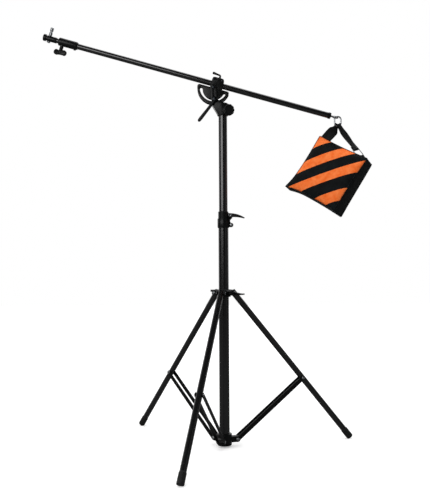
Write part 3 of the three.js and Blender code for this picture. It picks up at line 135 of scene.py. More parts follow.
floor_half = 9.0
floor_mesh = bpy.data.meshes.new("studio_floor")
floor_mesh.from_pydata([(x * floor_half, y * floor_half, 0) for x, y in ((-1, -1), (1, -1), (1, 1), (-1, 1))],
                       [], [(0, 1, 2, 3)])
floor = bpy.data.objects.new("studio_floor", floor_mesh)
scene.collection.objects.link(floor)
floor_paint = bpy.data.materials.new("painted_studio_floor")
floor_paint.use_nodes = True
tree = floor_paint.node_tree
tree.nodes.clear()
rays = add(tree, "ShaderNodeLightPath")
tone = add(tree, "ShaderNodeMix", {0: rays.outputs["Is Camera Ray"], 6: floor_dim, 7: floor_white},
           data_type="RGBA")
matt = add(tree, "ShaderNodeBsdfDiffuse", {"Color": tone.outputs[2]})
spot = add(tree, "ShaderNodeTexCoord")
gap = add(tree, "ShaderNodeVectorMath", {0: spot.outputs["Object"]}, operation="LENGTH")
level = add(tree, "ShaderNodeMapRange", {
    "Value": gap.outputs["Value"], "From Min": floor_near, "From Max": floor_far,
    "To Min": floor_lift_near, "To Max": floor_lift_far})
lift = add(tree, "ShaderNodeMath", {0: rays.outputs["Is Camera Ray"], 1: level}, operation="MULTIPLY")
bright = add(tree, "ShaderNodeEmission", {"Color": (1, 1, 1, 1), "Strength": lift})
both = add(tree, "ShaderNodeAddShader", {0: matt, 1: bright})
add(tree, "ShaderNodeOutputMaterial", {"Surface": both})
floor_mesh.materials.append(floor_paint)


def soft_box(name, place, width, height, radiance, target):
    """A rectangular lamp that faces the target, with its brightness given as radiance."""
    lamp = bpy.data.lights.new(name, "AREA")
    lamp.shape = "RECTANGLE"
    lamp.size, lamp.size_y = width, height
    lamp.energy = radiance * math.pi * width * height
    holder = bpy.data.objects.new(name, lamp)
    scene.collection.objects.link(holder)
    spot = column + Vector(place)
    aim = (column + Vector(target) - spot).to_track_quat("-Z", "Y")
    holder.matrix_world = Matrix.Translation(spot) @ aim.to_matrix().to_4x4()


soft_box("left_soft_box", (-1.45, -2.15, 1.6), 2.5, 1.25, 3.2, (0, 0, 1.35))
soft_box("top_soft_box", (0.2, 0.55, 3.2), 2.4, 1.4, 1.7, (0, 0.1, 1.0))
soft_box("right_soft_box", (2.4, -1.6, 1.4), 1.0, 2.0, 0.3, (0, 0, 0.8))


# Lower column tube: drawn aluminium tube, 35 mm by 1.5 mm, sprayed with black powder paint.
# It is cut square, deburred at both ends and pressed into the base hub.
def smooth(mesh, angle=32):
    """Smooth shading that keeps edges sharper than the angle."""
    mesh.polygons.foreach_set("use_smooth", [True] * len(mesh.polygons))
    mesh.set_sharp_from_angle(angle=math.radians(angle))
    mesh.update()


def outward(work):
    """Merges doubles and turns the faces of a closed mesh outwards."""
    bmesh.ops.remove_doubles(work, verts=work.verts, dist=0.005 * mm)
    bmesh.ops.recalc_face_normals(work, faces=work.faces)
    return work


def new_piece(name, finish, *works):
    """Makes one object at the origin from closed bmesh shells."""
    joined = bmesh.new()
    for work in works:
        shell = bpy.data.meshes.new("shell")
        work.to_mesh(shell)
        work.free()
        joined.from_mesh(shell)
        bpy.data.meshes.remove(shell)
    mesh = bpy.data.meshes.new(name)
    joined.to_mesh(mesh)
    joined.free()
    mesh.materials.append(finish)
    smooth(mesh)
    piece = bpy.data.objects.new(name, mesh)
    scene.collection.objects.link(piece)
    return piece


def lofted(rings, place, looped=False):
    """A skin over rings of points in the place's millimetres; looped joins the last ring to the first."""
    work = bmesh.new()
    made = [[work.verts.new(place @ (Vector(point) * mm)) for point in ring] for ring in rings]
    count, sides = len(made), len(made[0])
    for i in range(count if looped else count - 1):
        low, high = made[i], made[(i + 1) % count]
        for j in range(sides):
            k = (j + 1) % sides
            work.faces.new((low[j], low[k], high[k], high[j]))
    if not looped:
        work.faces.new(made[0])
        work.faces.new(made[-1])
    return outward(work)


def turned(profile, place, sides=72, closed=False):
    """A body turned about the place's Z axis, from (radius, height) in millimetres."""
    turns = [2 * math.pi * j / sides for j in range(sides)]
    rings = [[(radius * math.cos(a), radius * math.sin(a), height) for a in turns]
             for radius, height in ((max(radius, 0.02), height) for radius, height in profile)]
    return lofted(rings, place, looped=closed)


def tube(outer, wall, low, high, place, ease=0.4):
    """A tube about the place's Z axis with deburred ends."""
    out, bore = outer / 2, outer / 2 - wall
    return turned([(out, low + ease), (out, high - ease), (out - ease, high), (bore + ease, high),
                   (bore, high - ease), (bore, low + ease), (bore + ease, low), (out - ease, low)],
                  place, closed=True)


def shader(name):
    """A new material with an empty tree."""
    made = bpy.data.materials.new(name)
    made.use_nodes = True
    made.node_tree.nodes.clear()
    return made, made.node_tree


def fine_noise(tree, spacing, detail=2.0, stretch=(1, 1, 1)):
    """Noise on object coordinates whose grains are about the spacing apart, in millimetres."""
    place = add(tree, "ShaderNodeTexCoord")
    mapping = add(tree, "ShaderNodeMapping", {0: place.outputs["Object"], "Scale": stretch})
    return add(tree, "ShaderNodeTexNoise", {"Vector": mapping, "Scale": 1 / (spacing * mm), "Detail": detail})


def two_tone(tree, source, low, dark, high, light):
    """A ramp from one colour to another between two levels of the source."""
    ramp = add(tree, "ShaderNodeValToRGB", {0: source})
    first, last = ramp.color_ramp.elements
    first.position, last.position = low, high
    first.color, last.color = linear(dark), linear(light)
    return ramp


def plain_material(name, tones, mottle, grain, roughness, others, stretch=(1, 1, 1)):
    """A material with two mottled tones, a fine grain in relief and a range of roughness.

    Mottle is (spacing, detail), and grain is (spacing, detail, strength, depth), in millimetres.
    """
    made, tree = shader(name)
    cloud = fine_noise(tree, *mottle, stretch)
    spacing, detail, strength, depth = grain
    relief = add(tree, "ShaderNodeBump", {
        "Height": fine_noise(tree, spacing, detail), "Strength": strength, "Distance": depth * mm})
    gloss = add(tree, "ShaderNodeMapRange", {"Value": cloud, "To Min": roughness[0], "To Max": roughness[1]})
    surface = add(tree, "ShaderNodeBsdfPrincipled", {
        "Base Color": two_tone(tree, cloud, *tones), "Roughness": gloss, "Normal": relief, **others})
    add(tree, "ShaderNodeOutputMaterial", {0: surface})
    return made


# Powder paint on aluminium: smooth with a slight orange peel, so it shows one soft bright line
# along each tube. Sliding clamps have rubbed it a little greyer in long faint streaks.
streak, streak_stretch = 9.0, (1, 1, 0.1)
orange_peel = 2.2
powder_paint = plain_material(
    "powder_painted_tube", (0.52, "#050506", 0.78, "#0d0e0e"), (streak, 4.0), (orange_peel, 1.0, 0.12, 0.05),
    (0.3, 0.2), {"IOR": 1.5, "Specular IOR Level": 0.65, "Coat Weight": 0.5, "Coat Roughness": 0.16},
    streak_stretch)


def seat(piece, body, slot, *nodes):
    """Rides the piece on its body and hides the solids that it stands for; the slot is not used."""
    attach(piece, body)
    if nodes:
        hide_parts(*nodes)


def at(place, x=0, z=0, turn=0, axis="Y"):
    """A place that is moved in its XZ plane, in millimetres, and then turned about one of its axes."""
    return place @ Matrix.Translation(Vector((x, 0, z)) * mm) @ Matrix.Rotation(turn, 4, axis)


quarter_turn = math.pi / 2
on_column = Matrix.Translation(column)
lower_tube_width = 35.0
tube_wall = 1.5
low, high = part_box("lower_column_tube")
seat(new_piece("lower_column", powder_paint,
               tube(lower_tube_width, tube_wall, low.z / mm, high.z / mm, on_column)),
     "base", "black_tube", "lower_column_tube")


# Base hub and its end cap: moulded glass-filled nylon, with three eyes for the strut bars.
# The hub is pressed on the lower tube, and the cap plugs the tube's open end.
def applied(piece):
    """Writes the result of a piece's modifiers into its mesh and removes them."""
    graph = bpy.context.evaluated_depsgraph_get()
    mesh = bpy.data.meshes.new_from_object(piece.evaluated_get(graph))
    old = piece.data
    piece.modifiers.clear()
    piece.data = mesh
    bpy.data.meshes.remove(old)
    return piece


def refined(node, finish, round_over, body, slot):
    """Seats a copy of a CAD solid, its facets merged and its edges rounded by some millimetres."""
    work = bmesh.new()
    work.from_mesh(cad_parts[node].data)
    bmesh.ops.remove_doubles(work, verts=work.verts, dist=0.003 * mm)
    bmesh.ops.dissolve_limit(work, angle_limit=math.radians(0.5), verts=work.verts, edges=work.edges)
    piece = new_piece(node + "_finished", finish, work)
    edge = piece.modifiers.new("rounded_edges", "BEVEL")
    edge.limit_method = "ANGLE"
    edge.angle_limit = math.radians(40)
    edge.width = round_over * mm
    edge.segments = 2
    applied(piece)
    smooth(piece.data, 38)
    seat(piece, body, slot, node)


# Glass-filled nylon, moulded in a spark-eroded tool: matte, with a fine even grain and
# slightly greyer where fibres lie near the surface.
fibre_patch, eroded_grain = 6.0, 0.9
moulded_nylon = plain_material(
    "moulded_glass_filled_nylon", (0.35, "#050606", 0.75, "#0d0e0f"), (fibre_patch, 5.0),
    (eroded_grain, 1.0, 0.3, 0.08), (0.28, 0.42), {"IOR": 1.5, "Specular IOR Level": 0.28})

for node in ("base_hub", "base_end_cap"):
    refined(node, moulded_nylon, 0.8, "base", "casting")


# Rivets: zinc-plated steel with a shallow dome outside each cheek, headed cold over a steel shank.
# Three hold the struts to the base hub, three the legs to the collar, and two each strut's upper end.
def rule_tree(name, inputs):
    """A Geometry Nodes tree with a mesh in and out and named inputs, as (socket kind, default)."""
    made = bpy.data.node_groups.new(name, "GeometryNodeTree")
    made.is_modifier = True
    made.interface.new_socket("Geometry", in_out="INPUT", socket_type="NodeSocketGeometry")
    made.interface.new_socket("Geometry", in_out="OUTPUT", socket_type="NodeSocketGeometry")
    for label, (kind, value) in inputs.items():
        socket = made.interface.new_socket(label, in_out="INPUT", socket_type="NodeSocket" + kind)
        socket.default_value = value
    made.interface.new_socket("Finish", in_out="INPUT", socket_type="NodeSocketMaterial")
    return made, add(made, "NodeGroupInput").outputs


def close_tree(tree, geometry, finish):
    """Ends a tree in real geometry with its material."""
    real = add(tree, "GeometryNodeRealizeInstances", {0: geometry})
    done = add(tree, "GeometryNodeSetMaterial", {"Geometry": real, "Material": finish})
    add(tree, "NodeGroupOutput", {0: done})


def grown(name, tree, seeds, **values):
    """Runs a tree on a mesh and returns the result as a plain piece."""
    piece = bpy.data.objects.new(name, seeds)
    scene.collection.objects.link(piece)
    rule = piece.modifiers.new("rule", "NODES")
    rule.node_group = tree
    for socket in tree.interface.items_tree:
        if socket.in_out == "INPUT" and socket.name.replace(" ", "_").lower() in values:
            rule[socket.identifier] = values[socket.name.replace(" ", "_").lower()]
    applied(piece)
    smooth(piece.data)
    return piece


def marked_points(spots):
    """A mesh of loose points, each with the direction that its instance faces."""
    mesh = bpy.data.meshes.new("marked_points")
    mesh.from_pydata([point for point, way in spots], [], [])
    facing = mesh.attributes.new("facing", "FLOAT_VECTOR", "POINT")
    facing.data.foreach_set("vector", [c for point, way in spots for c in way])
    return mesh


def faced(tree, points, instance):
    """Sets an instance on each point with its Z axis along the point's direction."""
    facing = add(tree, "GeometryNodeInputNamedAttribute", {0: "facing"}, data_type="FLOAT_VECTOR")
    turn = add(tree, "FunctionNodeAlignRotationToVector", {"Vector": facing}, axis="Z")
    return add(tree, "GeometryNodeInstanceOnPoints", {
        "Points": points, "Instance": instance, "Rotation": turn})


# A flat disc is raised by its crown at the middle and by less and less towards its rim.
rivet_tree, entry = rule_tree("domed_rivets", {
    "Head Radius": ("Float", 5.5 * mm), "Crown": ("Float", 2.6 * mm), "Shank Radius": ("Float", 3 * mm),
    "Shank Length": ("Float", 10 * mm), "Sides": ("Int", 40)})
tree = rivet_tree
disc = add(tree, "GeometryNodeMeshCylinder", {
    "Vertices": entry["Sides"], "Side Segments": 1, "Fill Segments": 6, "Radius": entry["Head Radius"],
    "Depth": entry["Crown"]}, fill_type="TRIANGLE_FAN")
where = add(tree, "GeometryNodeInputPosition")
apart = add(tree, "ShaderNodeSeparateXYZ", {0: where})
flat = add(tree, "ShaderNodeCombineXYZ", {"X": apart, "Y": apart.outputs[1]})
across = add(tree, "ShaderNodeVectorMath", {0: flat}, operation="LENGTH")
share = add(tree, "ShaderNodeMath", {0: across.outputs["Value"], 1: entry["Head Radius"]},
            operation="DIVIDE")
square = add(tree, "ShaderNodeMath", {0: share, 1: 2.0}, operation="POWER")
bulge = add(tree, "ShaderNodeMath", {0: square, 1: -0.7, 2: 1.0}, operation="MULTIPLY_ADD")
upper = add(tree, "ShaderNodeMath", {0: apart.outputs[2], 1: 0.0}, operation="GREATER_THAN")
raised = add(tree, "ShaderNodeMath", {0: bulge, 1: upper}, operation="MULTIPLY")
rise = add(tree, "ShaderNodeMath", {0: raised, 1: entry["Crown"]}, operation="MULTIPLY")
domed = add(tree, "ShaderNodeCombineXYZ", {"X": apart, "Y": apart.outputs[1], "Z": rise})
head = add(tree, "GeometryNodeSetPosition", {"Geometry": disc, "Position": domed})
shank = add(tree, "GeometryNodeMeshCylinder", {
    "Vertices": 16, "Radius": entry["Shank Radius"], "Depth": entry["Shank Length"]})
half = add(tree, "ShaderNodeMath", {0: entry["Shank Length"], 1: -0.5}, operation="MULTIPLY")
down = add(tree, "ShaderNodeCombineXYZ", {"Z": half})
sunk = add(tree, "GeometryNodeTransform", {"Geometry": shank, "Translation": down})
whole = add(tree, "GeometryNodeJoinGeometry", {0: head})
tree.links.new(sunk.outputs[0], whole.inputs[0])
close_tree(tree, faced(tree, entry["Geometry"], whole), entry["Finish"])

# Zinc plating over steel: tumbled smooth, duller where fingers have been. It is bright bluish grey,
# and black on the bolts of the head.
zinc_bloom, tumbled_grain = 4.0, 0.8
zinc_plate, black_zinc = [
    plain_material(name, (0.3, dull, 0.65, bright), (zinc_bloom, 4.0), (tumbled_grain, 1.0, 0.12, 0.03),
                   (0.2, 0.36), {"Metallic": 1.0})
    for name, dull, bright in (("zinc_plated_steel", "#8f9396", "#c6c9cc"),
                               ("black_zinc_plated_steel", "#1b1d20", "#34373b"))]

first_leg_azimuth = 13.6
leg_places = [at(on_column, turn=math.radians(first_leg_azimuth + 120 * i), axis="Z") for i in range(3)]


def rivet_spots(place, x, z, face):
    """Points and directions of rivet heads on cheeks at either side of a place's XZ plane."""
    turn = place.to_3x3()
    return [(place @ (Vector((x, side * face, z)) * mm), turn @ Vector((0, side, 0))) for side in (-1, 1)]


strut_pivot_x, strut_pivot_z, hub_cheek = 44.0, 25.3, 14.1
leg_pivot_x, leg_pivot_z, ear_cheek = 36.0, 525.5, 15.1
for name, body, slot_nodes, x, z, cheek in (
        ("base_rivets", "base", "base_rivet_", strut_pivot_x, strut_pivot_z, hub_cheek),
        ("collar_rivets", "collar", "leg_rivet_", leg_pivot_x, leg_pivot_z, ear_cheek)):
    spots = [spot for place in leg_places for spot in rivet_spots(place, x, z, cheek)]
    piece = grown(name, rivet_tree, marked_points(spots), shank_length=cheek * mm, finish=zinc_plate)
    seat(piece, body, "zinc", *[slot_nodes + str(i) for i in (1, 2, 3)])


# Legs: three 21 mm aluminium tubes in the column's paint, each drilled for its rivet.
# Their lower ends sit in moulded rubber boots with grip rings, worn flat where they meet the floor.
leg_angle = math.radians(39.4)
leg_reach = 672.9
leg_width = 21.0
leg_head = 9.0
foot_radius = 12.0
foot_length = 38.0
foot_end_wall = 5.0
foot_fit = 0.15
grip_ring = 0.6
grip_pitch = 5.0
grip_rings = 5
rings_from = 3.0

# Moulded black rubber: dull, with a faint grey bloom of wax and dust near the floor.
rubber_dust, rubber_pores = 3.0, 0.7
foot_rubber = plain_material(
    "moulded_black_rubber", (0.45, "#070707", 0.8, "#171818"), (rubber_dust, 5.0),
    (rubber_pores, 2.0, 0.35, 0.1), (0.62, 0.62),
    {"IOR": 1.52, "Sheen Weight": 0.15, "Sheen Roughness": 0.4})

for i, place in enumerate(leg_places):
    down_leg = at(place, leg_pivot_x, leg_pivot_z, math.pi - leg_angle)
    leg = tube(leg_width, tube_wall, -leg_head, leg_reach - foot_end_wall - 0.3, down_leg)
    seat(new_piece(f"leg_tube_{i + 1}", powder_paint, leg), f"leg_body_{i + 1}", "black_tube", f"leg_{i + 1}")

    mouth = leg_reach - foot_length
    bore = leg_width / 2 + foot_fit
    boot = [(bore, mouth + 0.2), (foot_radius - 1.4, mouth), (foot_radius - 0.7, mouth + 0.5)]
    for ring in range(grip_rings):
        start = mouth + rings_from + ring * grip_pitch
        boot += [(foot_radius, start), (foot_radius, start + grip_pitch - 2 * grip_ring),
                 (foot_radius - grip_ring, start + grip_pitch - 1.5 * grip_ring),
                 (foot_radius - grip_ring, start + grip_pitch - 0.5 * grip_ring)]
    boot += [(foot_radius, mouth + rings_from + grip_rings * grip_pitch + 0.5),
             (foot_radius, leg_reach - 2.2), (foot_radius - 0.7, leg_reach - 0.7),
             (foot_radius - 2.2, leg_reach), (0, leg_reach),
             (0, leg_reach - foot_end_wall + 0.1), (bore, leg_reach - foot_end_wall + 0.1)]
    foot = turned(boot, down_leg, closed=True)
    for corner in foot.verts:
        corner.co.z = max(corner.co.z, 0.0)
    seat(new_piece(f"rubber_foot_{i + 1}", foot_rubber, foot), f"leg_body_{i + 1}", "rubber", f"foot_{i + 1}")


# Strut bars: six flat bars stamped from 3 mm steel strip, with a pressed bead down the middle.
# They run in pairs from the hub to a rivet through each leg, and they are painted black.
def arc(x, z, radius, start, end, steps=14):
    """Points of an arc, between two angles in degrees."""
    turns = [math.radians(start + (end - start) * i / steps) for i in range(steps + 1)]
    return [(x + radius * math.cos(a), z + radius * math.sin(a)) for a in turns]


def plate(outlines, front, back, ease, place):
    """A flat plate with rounded edges, outlined in X and Z in millimetres, between two Y values."""
    curve = bpy.data.curves.new("outline", "CURVE")
    curve.dimensions = "2D"
    curve.fill_mode = "BOTH"
    curve.extrude = (back - front) / 2 - ease
    curve.bevel_depth = ease
    curve.bevel_resolution = 2
    curve.offset = -ease
    for outline in outlines:
        spline = curve.splines.new("POLY")
        spline.points.add(len(outline) - 1)
        spline.points.foreach_set("co", [c for x, z in outline for c in (x, z, 0, 1)])
        spline.use_cyclic_u = True
    holder = bpy.data.objects.new("outline", curve)
    scene.collection.objects.link(holder)
    graph = bpy.context.evaluated_depsgraph_get()
    mesh = bpy.data.meshes.new_from_object(holder.evaluated_get(graph))
    work = bmesh.new()
    work.from_mesh(mesh)
    middle = Matrix.Translation((0, (front + back) / 2, 0)) @ Matrix.Rotation(quarter_turn, 4, "X")
    work.transform(place @ Matrix.Scale(mm, 4) @ middle)
    bpy.data.objects.remove(holder)
    bpy.data.curves.remove(curve)
    bpy.data.meshes.remove(mesh)
    return outward(work)


strut_angle = math.radians(50.109)
strut_reach = 311.32
strut_half = 7.5
strut_inner_face = 10.8
strut_thickness = 3.0
bead_half = 2.4
bead_height = 0.8
bead_sunk = 0.4
bead_margin = 24.0
# The bead's height along the bar and its share of the full section there.
bead_low, bead_high = bead_margin, strut_reach - bead_margin
bead_stations = ((bead_low, 0.05), (bead_low + 2, 0.7), (bead_low + 5, 1.0),
                 (bead_high - 5, 1.0), (bead_high - 2, 0.7), (bead_high, 0.05))
half_circle = [math.pi * j / 8 for j in range(9)]

# Stamped steel with thin black paint: flatter and a little glossier than the powder on the tubes,
# with grey showing along a few rubbed patches.
rubbed_patch, thin_paint_peel = 14.0, 1.6
painted_steel = plain_material(
    "painted_stamped_steel", (0.55, "#050606", 0.8, "#131415"), (rubbed_patch, 6.0),
    (thin_paint_peel, 1.0, 0.1, 0.04), (0.26, 0.4), {"IOR": 1.5, "Specular IOR Level": 0.28})

for i, place in enumerate(leg_places):
    up_strut = at(place, strut_pivot_x, strut_pivot_z, strut_angle)
    body = f"strut_body_{i + 1}"
    bar_outline = arc(0, 0, strut_half, 180, 360) + arc(0, strut_reach, strut_half, 0, 180)
    for side, name in ((1, "left"), (-1, "right")):
        inner = side * strut_inner_face
        outer = side * (strut_inner_face + strut_thickness)
        bar = plate([bar_outline], min(inner, outer), max(inner, outer), 0.5, up_strut)
        bead = [[(bead_half * s * math.cos(a), outer + side * (bead_height * s * math.sin(a) - bead_sunk), z)
                 for a in half_circle] for z, s in bead_stations]
        seat(new_piece(f"strut_bar_{i + 1}_{name}", painted_steel, bar, lofted(bead, up_strut)),
             body, "black_steel", f"strut_{i + 1}_{name}")
    spots = rivet_spots(up_strut, 0, strut_reach, strut_inner_face + strut_thickness)
    piece = grown(f"strut_rivet_{i + 1}", rivet_tree, marked_points(spots), shank_length=strut_thickness * mm,
                  finish=zinc_plate)
    seat(piece, body, "zinc")


# Sliding collar: moulded in glass-filled nylon, with paired ears for the legs and finger corners
# between them. Its split lug closes on the column when the horn lever drives the screw.
def bend(start, pull, end, steps=16):
    """Points of a quadratic curve from start to end that is pulled towards a third point."""
    shares = [i / steps for i in range(steps + 1)]
    return [tuple((1 - s) ** 2 * a + 2 * s * (1 - s) * b + s * s * c for a, b, c in zip(start, pull, end))
            for s in shares]


horn_hub = 7.0
horn_reach = 50.0
horn_tip = 2.2
horn_thickness = 8.0
horn_ease = 1.8
horn_gap = 0.3
screw_recess = 2.4
# The rib's place along the arm, its height above the arm's middle line and its share of the section.
rib_stations = ((10, 1.0, 0.05), (12, 1.0, 0.8), (24, 0.8, 1.0), (36, 0.5, 0.6), (38, 0.4, 0.05))


def horn_lever(name, body, place, drop, half_width):
    """A horn lever with a raised rib along its arm, and the screw through its hub."""
    tip = horn_reach - horn_tip
    outline = (arc(0, 0, horn_hub, -90, -270, 20) + bend((0, horn_hub), (horn_reach / 2, horn_hub),
                                                          (tip, horn_tip - drop))[1:]
               + arc(tip, -drop, horn_tip, 90, -90, 10)[1:]
               + bend((tip, -drop - horn_tip), (horn_reach / 2, -drop / 2), (0, -horn_hub))[1:-1])
    inner = -half_width - horn_gap
    outer = inner - horn_thickness
    lever = plate([outline], outer, inner, horn_ease, place)
    rib = [[(x, outer + 0.6 - 1.2 * s * math.sin(a), z - drop * (x / horn_reach) ** 2 + 1.3 * s * math.cos(a))
            for a in half_circle] for x, z, s in rib_stations]
    piece = new_piece(name + "_lever_moulding", moulded_nylon, lever, lofted(rib, place))
    seat(piece, body, "casting", name + "_lever")
    across = at(place, turn=quarter_turn, axis="X")
    face = -outer + horn_gap
    screw = turned([(0, face + 1.1), (screw_recess, face + 1.1), (screw_recess, face + 2.8),
                    (3.6, face + 3.0), (4.2, face + 2.6), (4.5, face + 1.9), (4.5, face), (2.5, face),
                    (2.5, 2 - half_width), (0, 2 - half_width)], across, 40)
    seat(new_piece(name + "_lever_cap_screw", zinc_plate, screw), body, "zinc", name + "_lever_screw")


refined("spreader_collar", moulded_nylon, 0.9, "collar", "casting")
collar_lug = 37.0
collar_lug_half = 7.2
collar_lever_rise, column_lever_drop = 2.3, 9.0
on_lug = at(on_column, turn=math.radians(first_leg_azimuth + 300), axis="Z")
collar_lever_place = at(on_lug, collar_lug, leg_pivot_z, math.pi, "X")
horn_lever("collar", "collar_lever_body", collar_lever_place, -collar_lever_rise, collar_lug_half)


# Column clamp: a split nylon sleeve that is bolted to the lower tube and gripped on the upper one.
# The same horn lever sits on its upper ears, and a plain bolt holds its lower lug.
clamp_half = 9.0
clamp_lever_x, clamp_lever_z = 23.0, 793.0
refined("column_clamp", moulded_nylon, 1.0, "base", "casting")
refined("column_clamp_bolt", zinc_plate, 0.4, "base", "zinc")
horn_lever("column", "column_lever_body", at(on_column, clamp_lever_x, clamp_lever_z), column_lever_drop,
           clamp_half)


# Upper column tube: 30 mm aluminium in the same paint, with a hidden nylon guide on its lower end.
upper_tube_width = 30.0
low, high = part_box("upper_column_tube")
seat(new_piece("upper_column", powder_paint,
               tube(upper_tube_width, tube_wall, low.z / mm, high.z / mm, on_column)),
     "upper_column", "black_tube", "upper_column_tube")
refined("upper_tube_guide", moulded_nylon, 0.4, "upper_column", "casting")


# Fork head: nylon casting whose socket turns on the upper tube, with two cheeks up to the pivot bolt.
# A fluted knob drives its screw against the tube to stop the head from turning.
refined("fork_head", moulded_nylon, 1.1, "head", "casting")
refined("pivot_bolt", black_zinc, 0.4, "head", "zinc")

knob_azimuth = math.radians(-65)
knob_z = 1152.0
knob_radius = 20.0
knob_face = 40.0
knob_back = 54.0
knob_stem = 9.0
knob_boss = 24.3
knob_flutes = 10
flute_depth = 1.5
knob_sides = 240
along_knob = at(at(on_column, 0, knob_z, knob_azimuth, "Z"), turn=quarter_turn)


def fluted(profile, place, flutes, sides):
    """A turned body with scalloped flutes, from (radius, height, flute depth) in millimetres."""
    rings = []
    for radius, height, depth in profile:
        ring = []
        for j in range(sides):
            a = 2 * math.pi * j / sides
            scallop = depth * max(math.cos(flutes * a), 0.0) ** 2
            ring.append(((radius - scallop) * math.cos(a), (radius - scallop) * math.sin(a), height))
        rings.append(ring)
    return lofted(rings, place)


# Half of the knob's rim, as (inset, rise, flute depth); the other half mirrors it.
rim = ((3.6, 0, flute_depth / 2), (1.4, 0.9, flute_depth), (0.3, 2.4, flute_depth), (0, 3.8, flute_depth))
knob = fluted(
    [(0.02, knob_boss + 6, 0), (3.5, knob_boss + 6, 0), (3.5, knob_boss, 0), (knob_stem - 0.6, knob_boss, 0),
     (knob_stem, knob_boss + 0.6, 0), (knob_stem, knob_face - 4.5, 0), (knob_stem + 1.2, knob_face - 2.4, 0)]
    + [(knob_radius - inset, knob_face + rise, depth) for inset, rise, depth in rim]
    + [(knob_radius - inset, knob_back - rise, depth) for inset, rise, depth in reversed(rim)]
    + [(knob_radius - 6.5, knob_back - 0.3, 0), (knob_radius - 7.5, knob_back - 1.3, 0),
       (0.02, knob_back - 1.6, 0)], along_knob, knob_flutes, knob_sides)
seat(new_piece("fluted_round_knob", moulded_nylon, knob), "round_knob_body", "casting", "round_knob")
screw = turned([(0, 15.3), (2.4, 15.3), (3.25, 16.2), (3.25, 46.0), (0, 46.0)], along_knob, 32)
seat(new_piece("round_knob_stud", zinc_plate, screw), "round_knob_body", "zinc", "round_knob_screw")


# Tilt lever: a long ratchet handle, moulded over a steel insert, on the bolt that clamps the two
# half-moon plates between the cheeks. The bolt and its spacer run in the plates' curved slots.
def rounded_box(half_width, half_height, corner, steps=6):
    """Points of a rectangle with round corners, as two coordinates."""
    corner = min(corner, half_width, half_height)
    ring = []
    for x, y, start in ((1, 1, 0), (-1, 1, 90), (-1, -1, 180), (1, -1, 270)):
        ring += arc(x * (half_width - corner), y * (half_height - corner), corner, start, start + 90, steps)
    return ring


slot_bolt_x, slot_bolt_z = -27.284, 1193.659
lever_inner, lever_outer = -18.4, -28.4
lever_swing = math.radians(231.5)
lever_place = at(on_column, slot_bolt_x, slot_bolt_z)
along_lever = at(lever_place, turn=-lever_swing)
middle = (lever_inner + lever_outer) / 2
handle_corner = 2.6
hub_radius, bolt_hole = 9.0, 4.3
spacer_radius, spacer_half = 7.0, 9.9
# Each station: place along the lever, half width, half depth, shift in depth and drop below the bolt.
stations = ((-3.0, 3.2, 2.6, 0, 0), (2.0, 5.2, 4.4, 0, 0.4), (12.0, 5.5, 4.2, 0, 1.6),
            (26.0, 5.1, 3.6, -0.6, 2.5), (44.0, 5.3, 3.8, -1.0, 2.9), (64.0, 5.6, 4.3, -0.8, 3.0),
            (82.0, 5.8, 4.7, -0.3, 3.0), (90.0, 5.4, 4.5, 0, 3.0), (94.6, 3.9, 3.3, 0, 3.0),
            (96.0, 1.8, 1.6, 0, 3.0))
handle = lofted([[(x, middle + shift + across, z + drop)
                  for z, across in rounded_box(half_width, half_depth, handle_corner)]
                 for x, half_width, half_depth, shift, drop in stations], along_lever)
across_lever = at(lever_place, turn=quarter_turn, axis="X")
hub = turned([(bolt_hole, -lever_inner), (hub_radius - 0.4, -lever_inner), (hub_radius, -lever_inner + 0.5),
              (hub_radius, -lever_outer - 2.2), (hub_radius - 0.6, -lever_outer - 0.8),
              (hub_radius - 1.8, -lever_outer), (bolt_hole, -lever_outer)], across_lever, 64, closed=True)
seat(new_piece("tilt_lever_moulding", moulded_nylon, handle, hub), "tilt_lever_body", "casting", "tilt_lever")
refined("slot_bolt", black_zinc, 0.4, "tilt_lever_body", "zinc")
spacer = turned([(bolt_hole, -spacer_half), (spacer_radius - 0.4, -spacer_half),
                 (spacer_radius, 0.4 - spacer_half), (spacer_radius, spacer_half - 0.4),
                 (spacer_radius - 0.4, spacer_half), (bolt_hole, spacer_half)], across_lever, 48, closed=True)
seat(new_piece("slot_spacer_sleeve", zinc_plate, spacer), "tilt_lever_body", "zinc", "slot_spacer")


# Half-moon plates: two stamped 3 mm steel plates, painted black, each with a curved slot and a tab.
# They turn with the boom clamp on the pivot bolt, and the slot bolt locks them at any tilt.
boom_tilt = math.radians(15.8)
pivot_x, pivot_z = -31.0, 1237.0
boom_lift = 15.2
boom_place = at(on_column, pivot_x, pivot_z, boom_tilt)
moon_radius = 57.0
moon_corner = 7.0
chord_drop = 1.0
slot_radius = 43.5
slot_half = 4.5
slot_angle = 74.0
plate_inner, plate_outer = 10.3, 13.3
tab_centre, tab_half, tab_top, tab_corner = 8.0, 21.0, 35.2, 9.0
cap_screw_x, cap_screw_z, cap_screw_hole = 15.0, 31.2, 2.3
pivot_hole = 3.3

